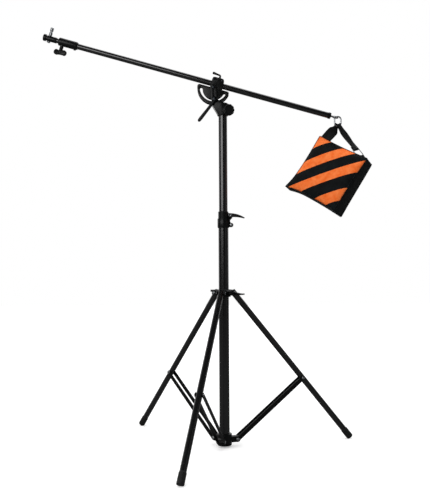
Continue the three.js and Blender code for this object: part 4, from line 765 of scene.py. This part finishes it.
reach = moon_radius - moon_corner
level = -chord_drop - moon_corner
corner_x = math.sqrt(reach ** 2 - level ** 2)
corner_angle = math.degrees(math.atan2(level, corner_x))
left, right = tab_centre - tab_half, tab_centre + tab_half
moon = ([(right, -chord_drop)] + arc(corner_x, level, moon_corner, 90, corner_angle)
        + arc(0, 0, moon_radius, corner_angle, -180 - corner_angle, 80)[1:-1]
        + arc(-corner_x, level, moon_corner, 180 - corner_angle, 90) + [(left, -chord_drop)]
        + arc(left + tab_corner, tab_top - tab_corner, tab_corner, 180, 90)
        + arc(right - tab_corner, tab_top - tab_corner, tab_corner, 90, 0))
first, last = -90 - slot_angle, -90 + slot_angle
end_x, end_z = slot_radius * math.cos(math.radians(last)), slot_radius * math.sin(math.radians(last))
slot = (arc(0, 0, slot_radius + slot_half, first, last, 60)
        + arc(end_x, end_z, slot_half, last, last + 180)[1:-1]
        + arc(0, 0, slot_radius - slot_half, last, first, 60)
        + arc(-end_x, end_z, slot_half, first + 180, first + 360)[1:-1])
holes = [arc(0, 0, pivot_hole, 0, 351, 39)] + [
    arc(tab_centre + way * cap_screw_x, cap_screw_z, cap_screw_hole, 0, 345, 23) for way in (-1, 1)]
for side, front, back in (("front", -plate_outer, -plate_inner), ("back", plate_inner, plate_outer)):
    work = plate([moon, slot] + holes, front, back, 0.4, boom_place)
    seat(new_piece(f"half_moon_{side}", painted_steel, work), "tilt_head", "black_steel",
         f"tilt_plate_{side}")


# Boom clamp: a nylon saddle below the boom and a cap above it, held between the plates by two
# screws. A rubber pad under the cap takes the end of the boom lock's screw.
for node, ease in (("boom_saddle", 1.0), ("boom_cap", 1.4)):
    refined(node, moulded_nylon, ease, "tilt_head", "casting")
refined("brake_pad", foot_rubber, 0.4, "tilt_head", "rubber")
for node in ("cap_screw_left", "cap_screw_right"):
    refined(node, black_zinc, 0.35, "tilt_head", "zinc")


# Boom lock: a bent steel rod dipped in black plastic, with a rounded end, above its screw.
def swept(path, place, sides=32):
    """A round body along a path of (point, radius) in millimetres; the section keeps its heading."""
    points = [Vector(point) for point, radius in path]
    rings = []
    side = None
    for i, (point, radius) in enumerate(path):
        along = (points[min(i + 1, len(points) - 1)] - points[max(i - 1, 0)]).normalized()
        side = Vector((0, 1, 0)) if side is None else side
        side = (side - along * side.dot(along)).normalized()
        other = along.cross(side)
        rings.append([points[i] + radius * (math.cos(a) * side + math.sin(a) * other)
                      for a in (2 * math.pi * j / sides for j in range(sides))])
    return lofted(rings, place)


lock_x = 11.0
lock_top = boom_lift + 23.0
lock_bend = lock_top + 11.0
lock_reach, lock_rise = 29.0, 3.0
lock_radius = 3.25
boom_width, pad_thick = 20.0, 3.0
lock_foot = boom_lift + boom_width / 2 + pad_thick + 0.3
stem = [((lock_x, 0, height), radius) for height, radius in (
    (lock_foot, 0.05), (lock_foot, 2.6), (lock_foot + 0.5, 3.0), (lock_top + 0.3, 3.0),
    (lock_top + 0.31, 4.8), (lock_top + 2.0, 4.9), (lock_top + 4.0, 3.6), (lock_top + 6.0, lock_radius))]
bent_x, bent_z = lock_x - 6, lock_bend + 0.8
turn = bend((lock_x, lock_bend - 5), (lock_x, lock_bend + 0.2), (bent_x, bent_z), 12)
handle = [((x, 0, z), lock_radius) for x, z in turn]
# The grip thickens along its reach, by these shares.
handle += [((bent_x - (lock_reach - 9) * share, 0, bent_z + (lock_rise - 0.8) * share), lock_radius * swell)
           for share, swell in ((0.25, 1), (0.5, 1.14), (0.75, 1.28), (0.95, 1.42))]
end_x, end_z = lock_x - lock_reach, lock_bend + lock_rise
handle += [((end_x + 1.6, 0, end_z - 0.1), 4.2), ((end_x + 0.5, 0, end_z), 3.2), ((end_x, 0, end_z), 1.8),
           ((end_x - 0.1, 0, end_z), 0.05)]
seat(new_piece("boom_lock_handle", moulded_nylon, swept(stem + handle, boom_place)),
     "boom_lever_body", "casting", "boom_lock_lever")


# Boom tubes: an outer one of 20 mm and an inner one of 16 mm, both black aluminium. The moulded front
# collar grips the inner tube with the wing knob below it, a nylon wing on a zinc-plated screw.
inner_width = 16.0
boom_front, boom_rear = -560.0, 408.0
inner_front, inner_rear = -589.9, 310.0
along_boom = at(boom_place, 0, boom_lift, quarter_turn)
seat(new_piece("boom_outer_tube", powder_paint,
               tube(boom_width, tube_wall, boom_front, boom_rear, along_boom)),
     "boom", "black_tube", "boom_tube")
refined("boom_front_collar", moulded_nylon, 0.8, "boom", "casting")

wing_x = -550.0
wing_drop = 36.5
wing_half, wing_lobe, wing_thick = 25.0, 9.5, 5.5
wing_waist, wing_ease = 3.0, 2.6
wing_turn = math.radians(20)
below_boom = at(boom_place, wing_x, boom_lift, math.pi, "X")
lobe_x, wing_low, wing_high = wing_half - wing_lobe, wing_drop - wing_lobe, wing_drop + wing_lobe
outline = (arc(lobe_x, wing_drop, wing_lobe, -90, 90, 24)
           + bend((lobe_x, wing_high), (0, wing_high - wing_waist), (-lobe_x, wing_high))[1:-1]
           + arc(-lobe_x, wing_drop, wing_lobe, 90, 270, 24)
           + bend((-lobe_x, wing_low), (0, wing_drop - wing_lobe / 2), (lobe_x, wing_low))[1:-1])
wing_place = at(below_boom, turn=wing_turn, axis="Z")
wings = plate([outline], -wing_thick, wing_thick, wing_ease, wing_place)
stem = turned([(3.6, 18.3), (6.1, 18.3), (6.5, 18.8), (6.5, 30.0), (7.4, 34.0), (7.0, 40.0), (5.0, 43.4),
               (0, 43.8), (0, 37.0), (3.6, 37.0)], wing_place, 48)
seat(new_piece("wing_knob_moulding", moulded_nylon, wings, stem), "wing_knob_body", "casting", "wing_knob")
screw = turned([(0, 8.3), (2.6, 8.3), (3.25, 9.0), (3.25, wing_drop), (0, wing_drop)], wing_place, 32)
seat(new_piece("wing_knob_stud", zinc_plate, screw), "wing_knob_body", "zinc", "wing_knob_screw")


# Boom's front end: the inner tube carries a nylon tip fitting with a flanged nose, and a zinc-plated
# stud with a groove stands on it, held by a nut below. Lamps and holders clamp on the stud.
seat(new_piece("boom_inner_tube_drawn", powder_paint,
               tube(inner_width, tube_wall, inner_front, inner_rear, along_boom)),
     "extension", "black_tube", "boom_inner_tube")
refined("tip_fitting", moulded_nylon, 0.7, "extension", "casting")
refined("tip_stud_nut", zinc_plate, 0.4, "extension", "zinc")
tip_start, stud_from_tip = -620.0, 21.0
fitting_half, fitting_gap = 9.25, 0.3
stud_length, nut_height = 30.0, 4.0
stud_foot = boom_lift + fitting_half + fitting_gap
stud_top = stud_foot + stud_length
nut_bottom = boom_lift - fitting_half - fitting_gap - nut_height
stud = turned([(0, nut_bottom - 1.5), (3.4, nut_bottom - 1.5), (4.0, nut_bottom - 0.9), (4.0, stud_foot),
               (5.6, stud_foot), (6.0, stud_foot + 0.4), (6.0, stud_foot + 11.5), (5.6, stud_foot + 12.0),
               (4.5, stud_foot + 13.4), (4.5, stud_foot + 17.0), (5.6, stud_foot + 18.4),
               (6.0, stud_foot + 18.9), (6.0, stud_top - 1.6), (4.6, stud_top), (1.6, stud_top),
               (1.0, stud_top - 0.6), (0, stud_top - 0.7)], at(boom_place, tip_start + stud_from_tip), 56)
seat(new_piece("tip_stud_turned", zinc_plate, stud), "extension", "zinc", "tip_stud")


# Rear hook: a nylon plug in the boom's end with a zinc-plated eye bolt, and an oval steel ring that
# hangs in the eye. The eye and the ring are bent from round wire and welded shut.
plug = turned([(0, 393.0), (7.4, 393.0), (8.2, 393.8), (8.2, 408.3), (10.6, 408.3), (11.0, 408.8),
               (11.0, 416.0), (10.2, 417.7), (8.6, 418.3), (5.2, 418.3), (4.6, 417.6), (3.8, 417.6),
               (3.8, 395.0), (0, 395.0)], along_boom, 64)
seat(new_piece("rear_plug_moulding", moulded_nylon, plug), "boom", "casting", "rear_plug")

wire_tree, entry = rule_tree("bent_wire", {"Wire Radius": ("Float", 2.2 * mm), "Sides": ("Int", 24)})
tree = wire_tree
line = add(tree, "GeometryNodeMeshToCurve", {"Mesh": entry["Geometry"]})
section = add(tree, "GeometryNodeCurvePrimitiveCircle", {"Resolution": entry["Sides"],
                                                         "Radius": entry["Wire Radius"]})
wire = add(tree, "GeometryNodeCurveToMesh", {"Curve": line, "Profile Curve": section})
close_tree(tree, wire, entry["Finish"])


def wire_loop(points, place):
    """A mesh of one closed line through points in the place's millimetres."""
    mesh = bpy.data.meshes.new("wire_line")
    count = len(points)
    mesh.from_pydata([place @ (Vector(point) * mm) for point in points],
                     [(i, (i + 1) % count) for i in range(count)], [])
    return mesh


eye_x, eye_radius, eye_wire = 433.3, 10.0, 2.2
eye_points = [(x, y, boom_lift) for x, y in arc(eye_x, 0, eye_radius, 0, 352.5, 47)]
piece = grown("rear_eye_bent", wire_tree, wire_loop(eye_points, boom_place), wire_radius=eye_wire * mm,
              finish=zinc_plate)
seat(piece, "boom", "zinc", "rear_eye")
shank = turned([(0, 395.3), (3.0, 395.3), (3.5, 396.0), (3.5, 419.0), (2.6, 422.5), (0, 423.0)],
               along_boom, 40)
seat(new_piece("rear_eye_shank", zinc_plate, shank), "boom", "zinc", "rear_eye")

low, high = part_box("hang_ring")
ring_centre = (low + high) / 2
ring_wire = 2.5
ring_half = (high.x - low.x) / 2 / mm - ring_wire
ring_straight = (high.z - low.z) / 2 / mm - ring_wire - ring_half
at_ring = Matrix.Translation(ring_centre)
ring_points = [(x, 0, z) for x, z in arc(0, ring_straight, ring_half, 0, 180, 32)
               + arc(0, -ring_straight, ring_half, 180, 360, 32)]
piece = grown("hang_ring_bent", wire_tree, wire_loop(ring_points, at_ring), wire_radius=ring_wire * mm,
              finish=zinc_plate)
seat(piece, "ring", "zinc", "hang_ring")


# Counterweight bag: two square panels of coated oxford nylon with screen-printed slanted stripes,
# sewn to a plain gusset and filled with sand, which has run towards its right side. It hangs askew.
bag_width, bag_height, bag_thick = 209.0, 207.0, 84.0
gusset_share = 0.72
fuller_share = 0.35
waist_share = 0.03
back_pull, front_pull = 0.5, 0.06
ear_reach, ear_spread = Vector((-9.0, 0.0, -9.0)), 0.55
bag_offset = Vector((-31.0, 0.0, -187.75))
bag_turn = (Matrix.Rotation(math.radians(-27), 4, "Z") @ Matrix.Rotation(math.radians(-12.5), 4, "X")
            @ Matrix.Rotation(math.radians(30.5), 4, "Y"))
bag_place = at_ring @ Matrix.Translation(bag_offset * mm) @ bag_turn
face_across = bag_turn.to_3x3() @ Vector((1, 0, 0))
depth_across = bag_turn.to_3x3() @ Vector((0, 1, 0))
panel_cells = 40
gusset_cells = 8
filling_pressure = 4.0
swelling_cap = 7.0
seam_slack = 0.25
seam_crease = 0.45
corner_hold = 30.0
settling_frames = 20


def panel_point(u, v, side):
    """A point of a bag panel, in the bag's own millimetres, for u and v from -1 to 1."""
    crown = math.sqrt((1 - u ** 4) * (1 - v ** 4))
    pull = ((1 + v) / 2) ** 3 * (back_pull if side > 0 else front_pull)
    depth = bag_thick / 2 * (1 + fuller_share * u) * (gusset_share + (1 - gusset_share) * crown) * (1 - pull)
    ear = max(0, 1 - math.hypot(u + 1, v + 1) / ear_spread) ** 2
    return Vector((u * bag_width / 2 * (1 - waist_share * (1 - v * v)), side * depth,
                   v * bag_height / 2 * (1 - waist_share * (1 - u * u)))) + ear_reach * ear


work = bmesh.new()
cut = work.verts.layers.float_vector.new("cut")
grids = []
for side in (-1, 1):
    grid = []
    for i in range(panel_cells + 1):
        row = []
        for j in range(panel_cells + 1):
            u, v = 2 * i / panel_cells - 1, 2 * j / panel_cells - 1
            corner = work.verts.new(bag_place @ (panel_point(u, v, side) * mm))
            corner[cut] = ((u + 1) / 2, (1 - v) / 2, 0)
            row.append(corner)
        grid.append(row)
    for i in range(panel_cells):
        for j in range(panel_cells):
            work.faces.new((grid[i][j], grid[i + 1][j], grid[i + 1][j + 1], grid[i][j + 1]))
    grids.append(grid)
last = panel_cells
rim = ([(i, 0) for i in range(last)] + [(last, j) for j in range(last)]
       + [(last - i, last) for i in range(last)] + [(0, last - j) for j in range(last)])
loops = [[grids[0][i][j] for i, j in rim]]
for k in range(1, gusset_cells):
    share = k / gusset_cells
    loops.append([work.verts.new(grids[0][i][j].co.lerp(grids[1][i][j].co, share)) for i, j in rim])
loops.append([grids[1][i][j] for i, j in rim])
for k in range(1, gusset_cells):
    for n, corner in enumerate(loops[k]):
        corner[cut] = (n * 4 / len(rim), k / gusset_cells * bag_thick / bag_width, 0)
for k in range(gusset_cells):
    for n in range(len(rim)):
        m = (n + 1) % len(rim)
        face = work.faces.new((loops[k][n], loops[k][m], loops[k + 1][m], loops[k + 1][n]))
        face.material_index = 1
bmesh.ops.recalc_face_normals(work, faces=work.faces)
crease = work.edges.layers.float.new("crease_edge")
for loop in (loops[0], loops[-1]):
    for n, corner in enumerate(loop):
        edge = work.edges.get((corner, loop[(n + 1) % len(loop)]))
        edge[crease] = seam_crease
work.verts.index_update()
rim_indices = [[corner.index for corner in loop] for loop in (loops[0], loops[-1])]
held_corners = [loops[k][rim.index(spot)].co.copy() for spot in ((0, 0), (last, 0), (0, last), (last, last))
                for k in (0, gusset_cells)]

# Coated oxford nylon: a plain weave whose threads are 0.7 mm apart, drawn at 1.4 mm to show. The
# print lies on it as a thin dull film, a little worn and dusty in patches.
cloth_black, cloth_lit = "#06090b", "#10181a"
print_orange, print_pale = "#f0661c", "#ff8846"
# Stripes, as shares of the way from the upper left corner of a panel to the lower right one.
corner_stripe = 0.13
stripes = ((0.263, 0.383), (0.517, 0.636), (0.785, 0.905))
thread_pitch = 1.4
cloth_patch, print_patch, dent_size = 26.0, 18.0, 24.0
cloth_shine = 0.14


def weave(tree, coordinates, pitch, width):
    """Height of a plain weave on cut coordinates that run from 0 to 1 over the width."""
    threads = width / pitch
    warp, weft = [add(tree, "ShaderNodeTexWave", {
        "Vector": coordinates, "Scale": threads / 2 * 0.1 * math.pi}, wave_type="BANDS", bands_direction=way)
        for way in ("X", "Y")]
    over = add(tree, "ShaderNodeTexChecker", {"Vector": coordinates, "Color1": (0, 0, 0, 1),
                                              "Color2": (1, 1, 1, 1), "Scale": threads / 2})
    return add(tree, "ShaderNodeMix", {
        0: over.outputs["Fac"], 2: warp.outputs["Fac"], 3: weft.outputs["Fac"]}, data_type="FLOAT")


def oxford(name, printed):
    """The bag's cloth, plain or with its printed stripes."""
    made, tree = shader(name)
    mark = add(tree, "ShaderNodeAttribute", attribute_name="cut")
    cloud = fine_noise(tree, cloth_patch, 5.0)
    colour = two_tone(tree, cloud, 0.35, cloth_black, 0.8, cloth_lit)
    if printed:
        split = add(tree, "ShaderNodeSeparateXYZ", {0: mark.outputs["Vector"]})
        total = add(tree, "ShaderNodeMath", {0: split, 1: split.outputs[1]}, operation="ADD")
        slant = add(tree, "ShaderNodeMath", {0: total, 1: 0.5}, operation="MULTIPLY")
        bands = add(tree, "ShaderNodeValToRGB", {0: slant})
        bands.color_ramp.interpolation = "CONSTANT"
        stops = bands.color_ramp.elements
        stops[0].position, stops[0].color = 0.0, (1, 1, 1, 1)
        stops[1].position, stops[1].color = corner_stripe, (0, 0, 0, 1)
        for start, end in stripes:
            stops.new(start).color = (1, 1, 1, 1)
            stops.new(end).color = (0, 0, 0, 1)
        tint = fine_noise(tree, print_patch, 4.0)
        orange = two_tone(tree, tint, 0.3, print_orange, 0.75, print_pale)
        colour = add(tree, "ShaderNodeMix", {0: bands, 6: colour, 7: orange}, data_type="RGBA").outputs[2]
    height = weave(tree, mark.outputs["Vector"], thread_pitch, bag_width)
    dents = fine_noise(tree, dent_size, 1.5)
    lumpy = add(tree, "ShaderNodeBump", {"Height": dents, "Strength": 0.35, "Distance": 2.5 * mm})
    relief = add(tree, "ShaderNodeBump", {"Height": height, "Strength": 0.35, "Distance": 0.25 * mm,
                                          "Normal": lumpy})
    dull = add(tree, "ShaderNodeMapRange", {"Value": cloud, "To Min": 0.6, "To Max": 0.78})
    cloth = add(tree, "ShaderNodeBsdfPrincipled", {
        "Base Color": colour, "Roughness": dull, "Specular IOR Level": cloth_shine, "Normal": relief})
    add(tree, "ShaderNodeOutputMaterial", {0: cloth})
    return made


printed_oxford = oxford("printed_oxford_nylon", True)
plain_oxford = oxford("plain_oxford_nylon", False)

mesh = bpy.data.meshes.new("sand_filled_bag")
work.to_mesh(mesh)
work.free()
mesh.materials.append(printed_oxford)
mesh.materials.append(plain_oxford)
bag = bpy.data.objects.new("sand_filled_bag", mesh)
scene.collection.objects.link(bag)
flat_shape = [corner.co.copy() for corner in mesh.vertices]
held = bag.vertex_groups.new(name="held")
for corner in mesh.vertices:
    gap = min((corner.co - spot).length for spot in held_corners)
    if gap < corner_hold * mm:
        held.add([corner.index], 1 - gap / (corner_hold * mm), "REPLACE")
filling = bag.modifiers.new("sand_filling", "CLOTH")
cloth = filling.settings
cloth.quality = 6
cloth.mass = 0.3
cloth.tension_stiffness = cloth.compression_stiffness = 18
cloth.shear_stiffness = 8
cloth.bending_stiffness = 0.6
cloth.use_pressure = True
cloth.uniform_pressure_force = filling_pressure
cloth.vertex_group_mass = "held"
cloth.effector_weights.gravity = 0
for step in range(settling_frames):
    scene.frame_set(step + 1)
applied(bag)
scene.frame_set(1)
for corner, start in zip(bag.data.vertices, flat_shape):
    shift = corner.co - start
    outwards = depth_across * shift.dot(depth_across)
    shift = outwards + (shift - outwards) * seam_slack
    corner.co = start + shift * min(1, swelling_cap * mm / max(shift.length, 1e-9))
bag.vertex_groups.clear()
rims = [[bag.data.vertices[index].co.copy() for index in indices] for indices in rim_indices]
finer = bag.modifiers.new("finer_cloth", "SUBSURF")
finer.levels = finer.render_levels = 1
applied(bag)
smooth(bag.data, 60)
seat(bag, "bag", "nylon", "sandbag")


# Seams of the bag: a narrow welt of the same black nylon over both edges of the gusset, with a row
# of lockstitches in black bonded thread beside it on the panels.
welt_radius = 1.1
stitch_inset = 4.5
stitch_pitch = 4.2
stitch_length = 3.0
thread_radius = 0.4
thread_twist = 0.6

surface = BVHTree.FromPolygons([corner.co for corner in bag.data.vertices],
                               [tuple(face.vertices) for face in bag.data.polygons])
bag_middle = bag_place.translation
black_thread = plain_material(
    "black_bonded_thread", (0.3, "#111315", 0.7, "#26292b"), (thread_twist, 1.0),
    (thread_twist, 1.0, 0.4, 0.1), (0.6, 0.6), {"Sheen Weight": 0.2})

stitch_tree, entry = rule_tree("row_of_stitches", {"Thread Radius": ("Float", thread_radius * mm),
                                                   "Stitch Length": ("Float", stitch_length * mm)})
tree = stitch_tree
thread = add(tree, "GeometryNodeMeshCylinder", {"Vertices": 6, "Radius": entry["Thread Radius"],
                                                "Depth": entry["Stitch Length"]})
close_tree(tree, faced(tree, entry["Geometry"], thread), entry["Finish"])


def spaced(points, pitch, closed=True):
    """Points and directions at an even pitch along a line, in metres."""
    ends = points[1:] + points[:1] if closed else points[1:]
    spots, left = [], 0.0
    for start, end in zip(points, ends):
        run = (end - start).length
        while left < run:
            spots.append((start.lerp(end, left / run), (end - start).normalized()))
            left += pitch * mm
        left -= run
    return spots


stitch_spots = []
line_points, line_edges = [], []
for side, loop in zip((-1, 1), rims):
    on_edge = [surface.find_nearest(point)[0] for point in loop]
    first = len(line_points)
    line_points += on_edge
    line_edges += [(first + n, first + (n + 1) % len(on_edge)) for n in range(len(on_edge))]
    panel_middle = bag_middle + depth_across * side * bag_thick / 2 * mm
    inside = [point + (panel_middle - point).normalized() * stitch_inset * mm for point in on_edge]
    inset = [surface.find_nearest(point) for point in inside]
    raised = [place + normal * (0.3 * thread_radius * mm) for place, normal, index, gap in inset]
    stitch_spots += spaced(raised, stitch_pitch)
welts = bpy.data.meshes.new("welt_lines")
welts.from_pydata(line_points, line_edges, [])
piece = grown("bag_welts", wire_tree, welts, wire_radius=welt_radius * mm, sides=12, finish=plain_oxford)
seat(piece, "bag", "nylon")
piece = grown("bag_stitches", stitch_tree, marked_points(stitch_spots), finish=black_thread)
seat(piece, "bag", "nylon")


# Strap: nylon webbing from one top corner of the bag, over the ring, to a wire loop at the other.
# It bunches up in the bend of the ring's lower wire. Its end is folded round the loop and sewn down.
strap_width, bunched_width, keeper_width, strap_thick = 36.0, 19.0, 26.0, 2.4
strap_from_edge = 14.0
strap_depth_in_bag = 9.3
bunch_share = 0.3
over_wire = 5.75
wire_z = -(ring_straight + ring_half)
bend_radius = ring_half - 3.0
keeper_wire = 1.5
keeper_long, keeper_broad = 30.0, 15.9
keeper_share = 0.7375
keeper_lean = math.radians(35)
fold_length = 15.0
fold_radius = keeper_wire + strap_thick / 2 + 0.1

# Webbing: a heavy plain weave with threads about 1.6 mm apart, softly shiny along its ribs.
webbing_black, webbing_lit = "#08090a", "#131517"
webbing_patch = 8.0
rib_pitch = 1.6
# The webbing's cut attribute is in metres, so its weave is laid out over a whole one.
metre = 1000.0

nylon_webbing, tree = shader("black_nylon_webbing")
mark = add(tree, "ShaderNodeAttribute", attribute_name="cut")
height = weave(tree, mark.outputs["Vector"], rib_pitch, metre)
wear = fine_noise(tree, webbing_patch, 4.0)
relief = add(tree, "ShaderNodeBump", {"Height": height, "Strength": 0.5, "Distance": 0.35 * mm})
ribbed = add(tree, "ShaderNodeBsdfPrincipled", {
    "Base Color": two_tone(tree, wear, 0.4, webbing_black, 0.8, webbing_lit), "Roughness": 0.55,
    "Specular IOR Level": 0.25, "Normal": relief})
add(tree, "ShaderNodeOutputMaterial", {0: ribbed})


def eased(value, start, end):
    """A smooth step from 0 to 1 between start and end."""
    share = min(max((value - start) / (end - start), 0), 1)
    return share * share * (3 - 2 * share)


def between(values, share):
    """A smooth curve through four values or vectors, from the second to the third."""
    a, b, c, d = values
    return (b * 2 + (c - a) * share + (a * 2 - b * 5 + c * 4 - d) * share ** 2
            + (b * 3 - a - c * 3 + d) * share ** 3) / 2


station_steps = 5
strap_cells = 14
edge_thinning, edge_power = 0.45, 8


def webbing(stations):
    """A strap through stations of (point, across, width, bunched), on the ring's millimetres."""
    fine = []
    for n in range(len(stations) - 1):
        near = [stations[min(max(n + k, 0), len(stations) - 1)] for k in (-1, 0, 1, 2)]
        for step in range(station_steps):
            fine.append([between(values, step / station_steps) for values in zip(*near)])
    fine.append(stations[-1])
    rings, marks, run = [], [], 0.0
    for n, (point, across, width, bunched) in enumerate(fine):
        along = (fine[min(n + 1, len(fine) - 1)][0] - fine[max(n - 1, 0)][0]).normalized()
        across = (across - along * across.dot(along)).normalized()
        normal = along.cross(across)
        run += (point - fine[n - 1][0]).length if n else 0
        half = width / 2
        row = [half * (2 * k / strap_cells - 1) for k in range(strap_cells + 1)]
        spots = [(x, strap_thick / 2) for x in row] + [(x, -strap_thick / 2) for x in reversed(row)]
        ring = []
        for x, z in spots:
            bent = bend_radius * math.sin(x / bend_radius)
            rise = bend_radius - bend_radius * math.cos(x / bend_radius)
            thin = z * (1 - edge_thinning * (abs(x) / half) ** edge_power)
            ring.append(point + across * (x + (bent - x) * bunched) + normal * thin
                        + Vector((0, 0, rise * bunched ** 3)))
        rings.append(ring)
        marks.append([(x / metre, run / metre, 0) for x, z in spots])
    work = lofted(rings, at_ring)
    cut = work.verts.layers.float_vector.new("cut")
    for corner, mark in zip(work.verts, (mark for ring in marks for mark in ring)):
        corner[cut] = mark
    return work


in_ring = Matrix.Translation(bag_offset) @ bag_turn
ends = [in_ring @ Vector((way * (bag_width / 2 - strap_from_edge), 0, bag_height / 2 - strap_depth_in_bag))
        for way in (-1, 1)]
ring_across = Vector((1, 0, 0))
wrap = over_wire / math.cos(math.pi / 8)
turns = [math.pi * quarter / 4 for quarter in range(5)]
over = [Vector((0, wrap * math.cos(a), wire_z + wrap * math.sin(a))) for a in turns]
down = (ends[1] - over[4]).normalized()
edgeways = (depth_across - down * depth_across.dot(down)).normalized()
keeper_across = edgeways * math.cos(keeper_lean) + down.cross(edgeways) * math.sin(keeper_lean)
keeper_front = down.cross(keeper_across)
keeper_at = over[4].lerp(ends[1], keeper_share)
bars = [keeper_at + down * way * keeper_long / 2 for way in (-1, 1)]


def folded(bar, way):
    """Stations of webbing that comes from one side, turns round a bar and ends on its own back."""
    layer = strap_thick / 2 + 0.1
    spots = [(-fold_length, layer), (-fold_radius * 1.5, fold_radius * 0.9)]
    spots += [(fold_radius * math.sin(a), fold_radius * math.cos(a)) for a in turns]
    spots += [(-fold_radius * 1.5, -fold_radius * 0.9), (-fold_length, -layer)]
    return [(bar + down * way * x + keeper_front * z, keeper_across, keeper_width, 0.0) for x, z in spots]


stations = []
for share in (0, 0.3, 0.6, 0.75, 0.85, 0.93):
    bunched = eased(share, 1 - bunch_share, 1)
    stations.append((ends[0].lerp(over[0], share), face_across.lerp(ring_across, share),
                     strap_width + (bunched_width - strap_width) * bunched, bunched))
stations += [(point, ring_across, bunched_width, 1.0) for point in over]
for share in (0.08, 0.2, 0.34, 0.45):
    bunched = 1 - eased(share, 0, bunch_share)
    stations.append((over[4].lerp(ends[1], share), ring_across.lerp(keeper_across, eased(share, 0.1, 0.5)),
                     keeper_width + (bunched_width - keeper_width) * bunched, bunched))
tab = [(ends[1], keeper_across, keeper_width, 0.0)] + folded(bars[1], -1)
piece = new_piece("webbing_strap", nylon_webbing, webbing(stations + folded(bars[0], 1)), webbing(tab))
seat(piece, "bag", "nylon", "bag_strap")

# Two rows of stitches cross each fold, on both of its faces.
stitches_across = 6
sewn = []
for bar, way in ((bars[0], 1), (bars[1], -1)):
    for x in (-fold_length + 2.0, -fold_radius * 2.2):
        for k in range(stitches_across):
            for side in (-1, 1):
                spot = (bar + down * way * x + keeper_across * (k - (stitches_across - 1) / 2) * stitch_pitch
                        + keeper_front * side * (strap_thick + 0.1))
                sewn.append((at_ring @ (spot * mm), keeper_across))
piece = grown("strap_stitches", stitch_tree, marked_points(sewn), finish=black_thread)
seat(piece, "bag", "nylon")


# Keeper: a rectangular loop of zinc-plated wire that joins the strap to the bag's fuller corner.
# The strap turns back round its upper bar, and a short tab from the bag round its lower one.
keeper_corner = 3.0
loop = [keeper_at + down * z + keeper_across * x
        for x, z in rounded_box(keeper_broad, keeper_long / 2, keeper_corner, 5)]
piece = grown("strap_keeper_bent", wire_tree, wire_loop(loop, at_ring), wire_radius=keeper_wire * mm,
              finish=zinc_plate)
seat(piece, "bag", "zinc", "strap_keeper")
